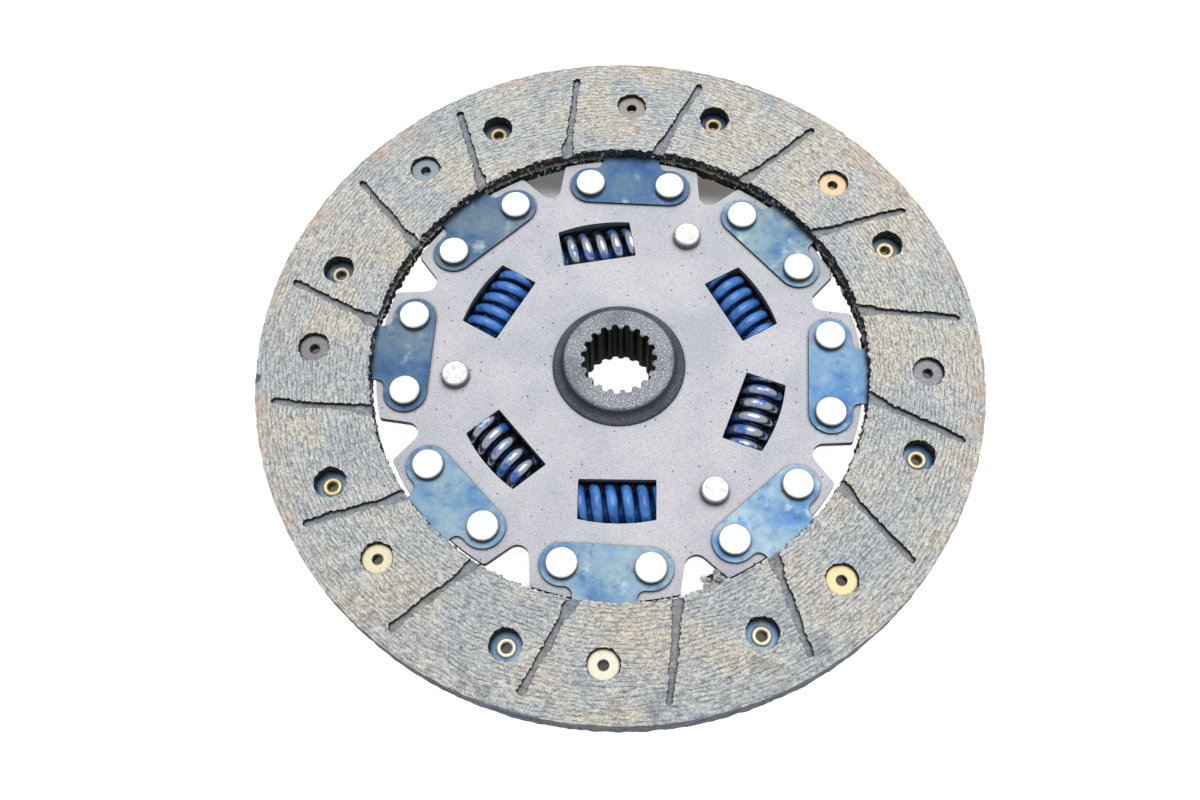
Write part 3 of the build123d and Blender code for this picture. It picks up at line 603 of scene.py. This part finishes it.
def dipped_wire(name, wear):
    """Spring wire dipped in blue enamel, rubbed through to steel on its crests, with painted shade
    down its sides and between its turns; a higher wear bares more of it."""
    material, tree, shader, coordinates = new_finish(
        name, Roughness=0.24, Specular_IOR_Level=0.4, Coat_Weight=0.3, Coat_Roughness=0.06
    )
    height = add_node(tree, "ShaderNodeSeparateXYZ", {"Vector": coordinates}).outputs["Z"]
    crest = rise(tree, height, SPRING_AXIS_HEIGHT, SPRING_AXIS_HEIGHT + 6 * MM, 0.14)
    patches = noise_node(tree, coordinates, per(5), 4.0, 0.6)
    rubbed = math_node(tree, "ADD", patches, crest)
    bare = rise(tree, rubbed, 0.95 - 0.45 * wear, 1.10 - 0.45 * wear)
    blue = ramp(tree, patches, (0.4, "#2863b8"), (0.6, "#4a90e2"))
    colour = mix(tree, bare, blue, "#979daa")
    scratches = noise_node(tree, coordinates, per(0.6), 4.0, 0.8)
    colour = mix(tree, rise(tree, scratches, 0.60, 0.72, 0.5), colour, "#131a28")
    # Painted shade down the wire's sides and underneath, where it turns away from the top.
    colour = mix(tree, rise(tree, upwardness(tree), 0.72, 0.15, 0.85), colour, "#0c111c")
    # Painted shade between the turns and against the window.
    colour = painted_shade_in_corners(tree, colour, "#05070c", 1.2, 0.9)
    tree.links.new(colour, shader.inputs["Base Color"])
    tree.links.new(bare, shader.inputs["Metallic"])
    return material


def sintered_steel():
    """Pressed and sintered iron powder: dark grey with a fine grain whose brightest specks are
    painted glints, with painted shade in its step, down the splined bore and in its corners."""
    material, tree, shader, coordinates = new_finish(
        "sintered_steel",
        Roughness=0.6,
        Metallic=0.3,
        Specular_IOR_Level=0.15,
        Specular_Tint=(0.2, 0.2, 0.2, 1),
    )
    grain = noise_node(tree, coordinates, per(0.5), 4.0, 0.8)
    cloud = noise_node(tree, coordinates, per(7), 3.0)
    # Fine grain; its top stops, up to white, are painted glints.
    colour = ramp(
        tree, grain, (0.34, "#55595f"), (0.48, "#8d9299"), (0.58, "#aaaeb5"), (0.66, "#ffffff")
    )
    colour = mix(tree, rise(tree, cloud, 0.45, 0.65, 0.4), colour, "#45494f")
    _, radius = polar(tree, coordinates)
    height = add_node(tree, "ShaderNodeSeparateXYZ", {"Vector": coordinates}).outputs["Z"]
    # Painted shade in the step below the nose.
    step = rise(tree, height, FACING_FACE - 0.2 * MM, FACING_FACE - 1.2 * MM, 0.8)
    colour = mix(tree, step, colour, "#363c43")
    # Painted shade, near black, down the splined bore.
    inside = math_node(
        tree,
        "MULTIPLY",
        rise(tree, radius, HUB_BORE + 0.5 * MM, HUB_BORE + 0.2 * MM),
        rise(tree, height, HUB_NOSE - 0.15 * MM, HUB_NOSE - 0.5 * MM),
    )
    colour = mix(tree, inside, colour, "#07090b")
    # Painted shade in corners.
    colour = painted_shade_in_corners(tree, colour, "#0c0e11", 1.0, 0.8)
    tree.links.new(colour, shader.inputs["Base Color"])
    bump(tree, shader, grain, 0.1, 0.6)
    return material


def friction_polymer():
    """Glass-filled nylon washers: matt black with a faint fibre mottle."""
    material, tree, shader, coordinates = new_finish("friction_polymer", Roughness=0.6)
    mottle = noise_node(tree, coordinates, per(1.2), 3.0)
    colour = ramp(tree, mottle, (0.35, "#1c1d1f"), (0.65, "#303234"))
    tree.links.new(colour, shader.inputs["Base Color"])
    return material


def oiled_spring_steel():
    """Plain spring strip under a film of oil: brown-grey and satin."""
    material, tree, shader, coordinates = new_finish(
        "oiled_spring_steel", Roughness=0.35, Metallic=1.0
    )
    film = noise_node(tree, coordinates, per(8), 3.0)
    colour = ramp(tree, film, (0.35, "#77736c"), (0.65, "#96938d"))
    tree.links.new(colour, shader.inputs["Base Color"])
    return material


# ------------------------------------------------------------------------------ facings


def ragged(place, size):
    """Rough noise between about -1 and 1, with features of that size."""
    return noise.fractal(place / size, 0.9, 2.1, 4)


def select_edges(obj, chosen, upright=False):
    """In edit mode, select the edges whose two ends both pass the test, or only upright ones."""
    bpy.ops.object.mode_set(mode="EDIT")
    bpy.ops.mesh.select_mode(type="EDGE")
    bpy.ops.mesh.select_all(action="DESELECT")
    bpy.ops.object.mode_set(mode="OBJECT")
    for edge in obj.data.edges:
        first, second = (obj.data.vertices[i].co for i in edge.vertices)
        edge.select = chosen(first) and chosen(second)
        if upright:
            edge.select = edge.select and (first - second).xy.length < 0.001 * MM
    bpy.ops.object.mode_set(mode="EDIT")


def ring_blank():
    """The facing before it is cut: back on z = 0, a fine grid on the wear face."""
    width = FACING_OUTER - FACING_BORE
    bpy.ops.mesh.primitive_plane_add(size=1, location=(0, 0, 0))
    ring = bpy.context.object
    ring.data.transform(
        Matrix.Translation((FACING_BORE + width / 2, 0, FACING_THICKNESS / 2))
        @ Matrix.Diagonal((width, 1, FACING_THICKNESS, 1))
        @ Matrix.Rotation(math.pi / 2, 4, "X")
    )
    bpy.ops.object.mode_set(mode="EDIT")
    bpy.ops.mesh.select_all(action="SELECT")
    bpy.ops.mesh.delete(type="ONLY_FACE")
    select_edges(ring, lambda p: p.z > FACING_THICKNESS - TINY)
    bpy.ops.mesh.subdivide(number_cuts=FACE_ROWS - 1)
    select_edges(ring, lambda p: p.x < FACING_BORE + TINY)
    bpy.ops.mesh.subdivide(number_cuts=WALL_ROWS - 1)
    select_edges(ring, lambda p: p.x > FACING_OUTER - TINY)
    bpy.ops.mesh.subdivide(number_cuts=WALL_ROWS - 1)
    bpy.ops.mesh.select_all(action="SELECT")
    bpy.ops.mesh.spin(steps=RING_STEPS, angle=2 * math.pi, center=(0, 0, 0), axis=(0, 0, 1))
    bpy.ops.mesh.select_all(action="SELECT")
    bpy.ops.mesh.remove_doubles(threshold=0.005 * MM)
    bpy.ops.mesh.normals_make_consistent(inside=False)
    bpy.ops.object.mode_set(mode="OBJECT")
    return ring


def groove_cutter(turn):
    """One straight groove, at that angle: flared at the bore, rounded at its blind end, its
    sloping sides torn where the saw broke strands out."""
    along, sideways = GROOVE_CUTS
    bpy.ops.mesh.primitive_grid_add(x_subdivisions=along, y_subdivisions=sideways, size=1)
    cutter = bpy.context.object
    bpy.ops.object.mode_set(mode="EDIT")
    bpy.ops.mesh.select_all(action="SELECT")
    for _ in range(GROOVE_ROWS):
        step = {"value": (0, 0, 1 / GROOVE_ROWS)}
        bpy.ops.mesh.extrude_region_move(TRANSFORM_OT_translate=step)
    bpy.ops.mesh.select_all(action="SELECT")
    bpy.ops.mesh.normals_make_consistent(inside=False)
    bpy.ops.object.mode_set(mode="OBJECT")
    half = GROOVE_WIDTH / 2
    for point in cutter.data.vertices:
        across, up = 2 * point.co.y, point.co.z
        x = GROOVE_START + (point.co.x + 0.5) * (GROOVE_END - GROOVE_START)
        flare = max(0.0, GROOVE_FLARE_FROM + GROOVE_FLARE_LENGTH - x) / GROOVE_FLARE_LENGTH
        into_end = max(0.0, x - (GROOVE_END - half)) / half
        narrowing = math.sqrt(max(0.1, 1 - into_end**2))
        reach = half * (1 + GROOVE_FLARE * min(flare, 1) ** 2) * narrowing
        side = Vector((x, math.copysign(1, across) * turn, 0))
        torn = ragged(side, GROOVE_TEAR_SIZE) * GROOVE_TEAR * (0.55 + 0.45 * up)
        torn += noise.noise(side / GROOVE_WANDER_SIZE) * GROOVE_WANDER
        reach = max(0.3 * reach, reach + torn + GROOVE_SLOPE * up)
        point.co = (x, GROOVE_OFFSET + across * reach, 0)
        place = point.co + Vector((0, 0, turn))
        uneven = ragged(place, GROOVE_FLOOR_RELIEF_SIZE) * GROOVE_FLOOR_RELIEF
        point.co.z = FACING_THICKNESS - GROOVE_DEPTH + uneven + up * (GROOVE_DEPTH + 0.5 * MM)
    cutter.data.transform(Matrix.Rotation(turn, 4, "Z"))
    return cutter


def hole_cutter(radius, low, high, angle, tear=0.0):
    """One drilled hole, with rows of points down its wall, torn by up to that much."""
    turn = math.radians(angle)
    middle = RIVET_CIRCLE * Vector((math.cos(turn), math.sin(turn), 0))
    bpy.ops.mesh.primitive_cylinder_add(vertices=HOLE_SIDES, radius=radius, depth=high - low)
    hole = bpy.context.object
    select_edges(hole, lambda p: True, upright=True)
    bpy.ops.mesh.subdivide(number_cuts=HOLE_ROWS - 1)
    bpy.ops.object.mode_set(mode="OBJECT")
    for point in hole.data.vertices:
        around = Vector((point.co.x, point.co.y, 0)).normalized()
        place = point.co + middle + Vector((0, 0, (low + high) / 2))
        point.co = place + around * ragged(place, HOLE_TEAR_SIZE) * tear
    return hole


def chip_cutter():
    """A chip broken out of the bore's edge."""
    bpy.ops.mesh.primitive_ico_sphere_add(subdivisions=4, radius=CHIP_SIZE)
    chip = bpy.context.object
    for point in chip.data.vertices:
        point.co *= 1 + CHIP_ROUGHNESS * ragged(point.co, CHIP_ROUGHNESS_SIZE)
    distance, angle = CHIP
    middle = Vector((distance * math.cos(angle), distance * math.sin(angle), FACING_THICKNESS))
    chip.data.transform(Matrix.Translation(middle))
    return chip


def cut(obj, cutter):
    modifier = obj.modifiers.new("cut", "BOOLEAN")
    modifier.operation = "DIFFERENCE"
    modifier.solver = "EXACT"
    modifier.object = cutter
    apply_modifiers(obj)
    bpy.data.objects.remove(cutter)


def wound_facing():
    """One facing in its own frame: back on z = 0 and grooved face up."""
    ring = ring_blank()
    for point in ring.data.vertices:
        distance = point.co.xy.length
        if distance < FACING_BORE + TINY:
            point.co.xy *= 1 + ragged(point.co, BORE_TEAR_SIZE) * BORE_TEAR / distance
        elif distance > FACING_OUTER - TINY:
            point.co.xy *= 1 + ragged(point.co, RIM_WEAR_SIZE) * RIM_WEAR / distance
        elif point.co.z > FACING_THICKNESS - TINY:
            point.co.z += ragged(point.co, FACE_RELIEF_SIZE) * FACE_RELIEF

    grooves = [
        groove_cutter(GROOVE_FIRST_ANGLE + k * 2 * math.pi / GROOVES) for k in range(GROOVES)
    ]
    cut(ring, join(grooves, "grooves"))

    holes, shanks = [], []
    above = FACING_THICKNESS + 1 * MM
    for k in range(RIVETS_PER_SIDE):
        middle = 90 - k * 360 / RIVETS_PER_SIDE
        head, tail = middle + HEAD_SIDE_ANGLE, middle + TAIL_SIDE_ANGLE
        holes.append(hole_cutter(RIVET_HOLE, RIVET_HEAD_FLOOR, above, head, HOLE_TEAR))
        holes.append(hole_cutter(RIVET_HOLE, -1 * MM, above, tail, HOLE_TEAR))
        shanks.append(hole_cutter(RIVET_SHANK_HOLE, -1 * MM, 2 * MM, head))
    cut(ring, chip_cutter())
    cut(ring, join(holes, "holes"))
    cut(ring, join(shanks, "shanks"))
    return ring


def sort_faces(ring):
    """Face, torn edge, groove floor and outer rim each get their own finish."""
    for finish in (YARN_FACE, TORN_EDGE, GROOVE_FLOOR, RIM):
        ring.data.materials.append(finish)
    torn, floor, rim = 1, 2, 3
    for polygon in ring.data.polygons:
        low = polygon.center.z < FACING_THICKNESS - 0.45 * GROOVE_DEPTH
        if abs(polygon.normal.z) < 0.55:
            at_rim = polygon.center.xy.length > FACING_OUTER - 1 * MM
            polygon.material_index = rim if at_rim else torn
        elif polygon.normal.z > 0 and low:
            polygon.material_index = floor


def loose_strands(name, finish, count, arc, height, length, thickness, seed):
    """Broken strands that stick out of the bore's edge. Arc is the stretch of the bore, in
    degrees; height and length are the least and the most."""
    chance = random.Random(seed)
    curve = bpy.data.curves.new(name, "CURVE")
    curve.dimensions = "3D"
    curve.bevel_depth = thickness / 2
    curve.bevel_resolution = 0
    curve.use_fill_caps = True
    for _ in range(count):
        angle = math.radians(chance.uniform(*arc))
        outward = Vector((math.cos(angle), math.sin(angle), 0))
        around = Vector((-outward.y, outward.x, 0))
        place = outward * (FACING_BORE + STRAND_ROOT) + Vector((0, 0, chance.uniform(*height)))
        heading = -outward * chance.uniform(*STRAND_INWARD)
        heading += around * chance.uniform(-STRAND_SIDEWAYS, STRAND_SIDEWAYS)
        spline = curve.splines.new("POLY")
        spline.points.add(STRAND_POINTS - 1)
        stride = chance.uniform(*length) / STRAND_POINTS
        for point in spline.points:
            point.co = (*place, 1)
            point.radius = chance.uniform(*STRAND_FRAYING)
            heading += Vector([chance.uniform(-most, most) for most in STRAND_SWERVE])
            place = place + heading.normalized() * stride
    strands = bpy.data.objects.new(name, curve)
    bpy.context.scene.collection.objects.link(strands)
    select_only(strands)
    bpy.ops.object.convert(target="MESH")
    strands = bpy.context.object
    strands.data.materials.clear()
    strands.data.materials.append(finish)
    return strands


def crumbs():
    """Crumbled yarn and resin, heaped where the bundle was torn out."""
    chance = random.Random(6)
    heap = []
    for index in range(CRUMBS):
        in_core = index < CORE_CRUMBS
        size = chance.uniform(*(CORE_RADIUS if in_core else CRUMB_RADIUS)) * MM
        depth = chance.uniform(*(CORE_DEPTH if in_core else CRUMB_DEPTH)) * MM
        angle = math.radians(chance.uniform(*TUFT_ARC))
        distance = FACING_BORE + chance.uniform(*HEAP_REACH) * MM
        bpy.ops.mesh.primitive_ico_sphere_add(subdivisions=3, radius=size)
        crumb = bpy.context.object
        flat = Vector((distance * math.cos(angle), distance * math.sin(angle), 0))
        place = flat + Vector((0, 0, FACING_THICKNESS - depth))
        crumb.data.transform(Matrix.Translation(place))
        for point in crumb.data.vertices:
            away = (point.co - place).normalized()
            rough = ragged(point.co, CRUMB_ROUGHNESS_SIZE)
            point.co += away * rough * CRUMB_ROUGHNESS * size
        finish = TORN_EDGE if in_core else (YARN_FACE, LOOSE_STRAND)[index % 2]
        crumb.data.materials.append(finish)
        heap.append(crumb)
    return heap


def make_facings():
    """The front facing with its broken strands and crumbs, and the same ring turned over."""
    front = wound_facing()
    sort_faces(front)
    select_only(front)
    bpy.ops.object.shade_smooth_by_angle(angle=SMOOTH_BELOW)
    front.name = "wound_facing_front"
    rear = copy_of(front, "wound_facing_rear")
    turn = Matrix.Rotation(FACING_TURN_AXIS, 4, "Z")
    rear.data.transform(turn @ Matrix.Rotation(math.pi, 4, "X") @ turn.inverted())
    high = (0.3 * MM, FACING_THICKNESS - 0.15 * MM)
    short = (0.6 * MM, 2.2 * MM)
    near_face = (FACING_THICKNESS - 1.6 * MM, FACING_THICKNESS - 0.3 * MM)
    middling, long = (1 * MM, 3 * MM), (2 * MM, 4 * MM)
    all_round = (0, 360)
    fringe = crumbs() + [
        loose_strands("dark_fringe", TORN_EDGE, 420, all_round, high, short, 0.16 * MM, seed=1),
        loose_strands("pale_fringe", LOOSE_STRAND, 300, all_round, high, short, 0.12 * MM, seed=2),
        loose_strands("tuft", LOOSE_STRAND, 26, TUFT_ARC, near_face, middling, 0.3 * MM, seed=3),
        loose_strands("snag", LOOSE_STRAND, 10, SNAG_ARC, near_face, long, 0.22 * MM, seed=5),
    ]
    join([front] + fringe, "wound_facing_front")
    for piece, node in ((front, "facing_front"), (rear, "facing_rear")):
        piece.data.transform(Matrix.Translation((0, 0, FACING_BACK[node])))
        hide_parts(node)
        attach(piece, "disc")


# ------------------------------------------------------------------------------ damper springs


def make_spring(index, angle, finish):
    """Right-hand coil of one pitch with ground ends, lying along its window."""
    turns = (SPRING_LENGTH + 2 * SPRING_WIRE) / SPRING_PITCH
    bpy.ops.mesh.primitive_circle_add(
        vertices=WIRE_SIDES, radius=SPRING_WIRE, rotation=(math.pi / 2, 0, 0)
    )
    coil = bpy.context.object
    coil.name = f"dipped_coil_{index}"
    settle(coil)
    coil.data.transform(Matrix.Translation((SPRING_MEAN_RADIUS, 0, -turns * SPRING_PITCH / 2)))
    screw = coil.modifiers.new("coil", "SCREW")
    screw.angle = 2 * math.pi * turns
    screw.screw_offset = turns * SPRING_PITCH
    screw.steps = screw.render_steps = int(STEPS_PER_TURN * turns)
    screw.use_smooth_shade = True
    apply_modifiers(coil)
    bpy.ops.object.mode_set(mode="EDIT")
    for side in (-1, 1):
        bpy.ops.mesh.select_all(action="SELECT")
        bpy.ops.mesh.bisect(
            plane_co=(0, 0, side * SPRING_LENGTH / 2),
            plane_no=(0, 0, side),
            clear_outer=True,
            use_fill=True,
        )
    bpy.ops.mesh.select_all(action="SELECT")
    bpy.ops.mesh.normals_make_consistent(inside=False)
    bpy.ops.object.mode_set(mode="OBJECT")
    turn = Matrix.Rotation(math.radians(angle), 4, "Z")
    lie = Matrix.Rotation(math.pi / 2, 4, "Z") @ Matrix.Rotation(math.pi / 2, 4, "Y")
    centre = turn @ Vector((SPRING_CENTRE, 0, SPRING_AXIS_HEIGHT))
    coil.data.transform(Matrix.Translation(centre) @ turn @ lie)
    select_only(coil)
    bpy.ops.object.shade_smooth_by_angle(angle=SMOOTH_BELOW)
    coil.data.materials.append(finish)
    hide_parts(f"damper_spring_{index}")
    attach(coil, "disc")
    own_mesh(coil)


# ------------------------------------------------------------------------------ stage


def seen_or_mirrored(tree):
    """1 where the camera looks, straight or by way of metal or glass, and 0 for light itself."""
    path = add_node(tree, "ShaderNodeLightPath").outputs
    direct = math_node(tree, "MAXIMUM", path["Is Camera Ray"], path["Is Glossy Ray"])
    return math_node(tree, "MAXIMUM", direct, path["Is Transmission Ray"])


def make_floor():
    """Pale floor that glows white to the camera. The glow is turned down in rings under the disc,
    most on the far side: a painted shadow of the disc, in which its own shadow also shows."""
    bpy.ops.mesh.primitive_plane_add(size=FLOOR_SIZE, location=(0, 0, -FLOOR_DROP))
    floor = bpy.context.object
    floor.name = "floor"
    material = bpy.data.materials.new("white_paper")
    material.use_nodes = True
    tree = material.node_tree
    shader = tree.nodes["Principled BSDF"]
    shader.inputs["Base Color"].default_value = linear("#f2f2f2")
    shader.inputs["Roughness"].default_value = 0.9
    shader.inputs["Emission Color"].default_value = (1, 1, 1, 1)
    coordinates = tree.nodes.new("ShaderNodeTexCoord").outputs["Object"]
    leaning = add_node(
        tree, "ShaderNodeVectorMath", {0: coordinates, 1: SHADE_MIDDLE}, operation="SUBTRACT"
    ).outputs[0]
    _, radius = polar(tree, leaning)
    far = add_node(tree, "ShaderNodeSeparateXYZ", {"Vector": coordinates}).outputs["Y"]
    # Painted shadow: rings under the plate and facings, deepest on the far side.
    shade = rise(tree, far, *SHADE_FAR, 0.95)
    shade = math_node(tree, "MULTIPLY", shade, band(tree, radius, *UNDER_DISC))
    for ring in (UNDER_PLATE, UNDER_FACINGS):
        shade = math_node(tree, "MAXIMUM", shade, band(tree, radius, *ring))
    lit = math_node(tree, "MULTIPLY", math_node(tree, "SUBTRACT", 1.0, shade), FLOOR_GLOW)
    glow = math_node(tree, "MULTIPLY", seen_or_mirrored(tree), lit)
    tree.links.new(glow, shader.inputs["Emission Strength"])
    floor.data.materials.append(material)


def make_world():
    """White to the camera and in reflections, soft grey as light."""
    world = bpy.data.worlds.new("studio")
    bpy.context.scene.world = world
    world.use_nodes = True
    tree = world.node_tree
    background = tree.nodes["Background"]
    background.inputs["Color"].default_value = (1, 1, 1, 1)
    strength = add_node(
        tree,
        "ShaderNodeMapRange",
        {"Value": seen_or_mirrored(tree), "To Min": AMBIENT, "To Max": 1.0},
    )
    tree.links.new(strength.outputs["Result"], background.inputs["Strength"])


def make_lamp(name, place, size, power):
    """Square softbox aimed at the disc."""
    bpy.ops.object.light_add(type="AREA", location=place)
    lamp = bpy.context.object
    lamp.name = name
    lamp.data.size = size
    lamp.data.energy = power
    lamp.rotation_mode = "QUATERNION"
    lamp.rotation_quaternion = Vector(place).to_track_quat("Z", "Y")


def make_camera():
    """Looks down on the disc from its front, tilted 24 degrees off its axis."""
    data = bpy.data.cameras.new("camera")
    camera = bpy.data.objects.new("camera", data)
    bpy.context.scene.collection.objects.link(camera)
    data.lens = CAMERA_LENS
    data.sensor_width = 36
    data.clip_start = 0.01
    to_camera = (
        Matrix.Rotation(CAMERA_ROLL, 3, "Z")
        @ Matrix.Rotation(-CAMERA_TILT, 3, "X")
        @ Matrix.Rotation(CAMERA_TURN, 3, "Z")
    )
    place = -(to_camera.transposed() @ CAMERA_OFFSET) + Vector((0, 0, FACING_FACE))
    camera.matrix_world = Matrix.Translation(place) @ to_camera.transposed().to_4x4()
    bpy.context.scene.camera = camera


# ------------------------------------------------------------------------------ build the scene

bpy.ops.object.select_all(action="DESELECT")
bpy.context.scene.view_settings.view_transform = "Standard"

make_camera()
make_world()
make_floor()
make_lamp("overhead", LAMP_PLACE, LAMP_SIZE, LAMP_POWER)

YARN_FACE = wound_yarn_face()
TORN_EDGE = torn_yarn_edge()
GROOVE_FLOOR = groove_floor()
RIM = moulded_rim()
LOOSE_STRAND = loose_strand()
make_facings()

PLATE_FINISH = phosphated_steel()
# Clockwise from the top. Each strip's cast also holds painted light: the strips towards the top
# are darker, those towards the bottom lighter.
SEGMENT_CASTS_AND_LIGHT = [
    ("#919daf", 0.0),
    ("#cfcbc4", 0.02),
    ("#b8c2d0", 0.0),
    ("#e8ded5", 0.13),
    ("#cecbc8", 0.0),
    ("#d6d3d0", 0.0),
    ("#a7a7ad", 0.02),
    ("#aca9ab", 0.0),
]
EAR_ZINC = zinc_plate("bright_zinc", "#fafbf9", "#e2e4df", "#46483f")
PIN_ZINC = zinc_plate("mottled_zinc", "#dcdfdb", "#aeb3b2", "#5c5f60")
dress("disc_plate", PLATE_FINISH)
dress("retainer_plate", PLATE_FINISH)
for k, (cast, deep) in enumerate(SEGMENT_CASTS_AND_LIGHT, 1):
    dress(f"cushion_segment_{k}", tempered_spring_steel(f"tempered_strip_{k}", cast, deep))
dress("segment_rivets", EAR_ZINC)
for k in range(1, 4):
    dress(f"stop_pin_{k}", PIN_ZINC)
# Painted shade of heads and tails, in mm from a rivet's axis: black in the bore, darker at the
# rim.
HEAD_SHADE_RINGS = [
    (1.28, "#0b0b0c"),
    (1.36, "#6c675f"),
    (1.6, "#ffffff"),
    (3.4, "#ffffff"),
    (3.9, "#857b6c"),
]
TAIL_SHADE_RINGS = [
    (1.2, "#0b0b0c"),
    (1.28, "#8d877c"),
    (1.4, "#ffffff"),
    (2.4, "#ffffff"),
    (2.6, "#b8ad9c"),
]
HEAD_TARNISH = [
    "#77757b",
    "#d6b98a",
    "#938783",
    "#84929a",
    "#7b7879",
    "#cfc4a2",
    "#ccc6b2",
    "#d8bd8e",
]
TAIL_TARNISH = [
    "#e8d8a8",
    "#ecd9ac",
    "#cdb48c",
    "#c4b694",
    "#c8c0ac",
    "#ead9a6",
    "#f2ead6",
    "#efe2c0",
]
BRASS_HEADS = formed_brass("brass_heads", HEAD_SIDE_ANGLE, HEAD_TARNISH, HEAD_SHADE_RINGS, 0.5)
BRASS_TAILS = formed_brass("brass_tails", TAIL_SIDE_ANGLE, TAIL_TARNISH, TAIL_SHADE_RINGS, 0.0)
dress("facing_rivets_front", BRASS_HEADS)
dress("facing_rivets_rear", BRASS_TAILS)
dress("hub", sintered_steel())
WASHERS = friction_polymer()
dress("friction_washer_front", WASHERS)
dress("friction_washer_rear", WASHERS)
dress("spring_washer", oiled_spring_steel())

FRESH_COIL = dipped_wire("fresh_dipped_wire", 0.15)
WORN_COIL = dipped_wire("worn_dipped_wire", 1.0)
for k, angle in enumerate(SPRING_ANGLES, 1):
    make_spring(k, angle, WORN_COIL if k % 2 else FRESH_COIL)
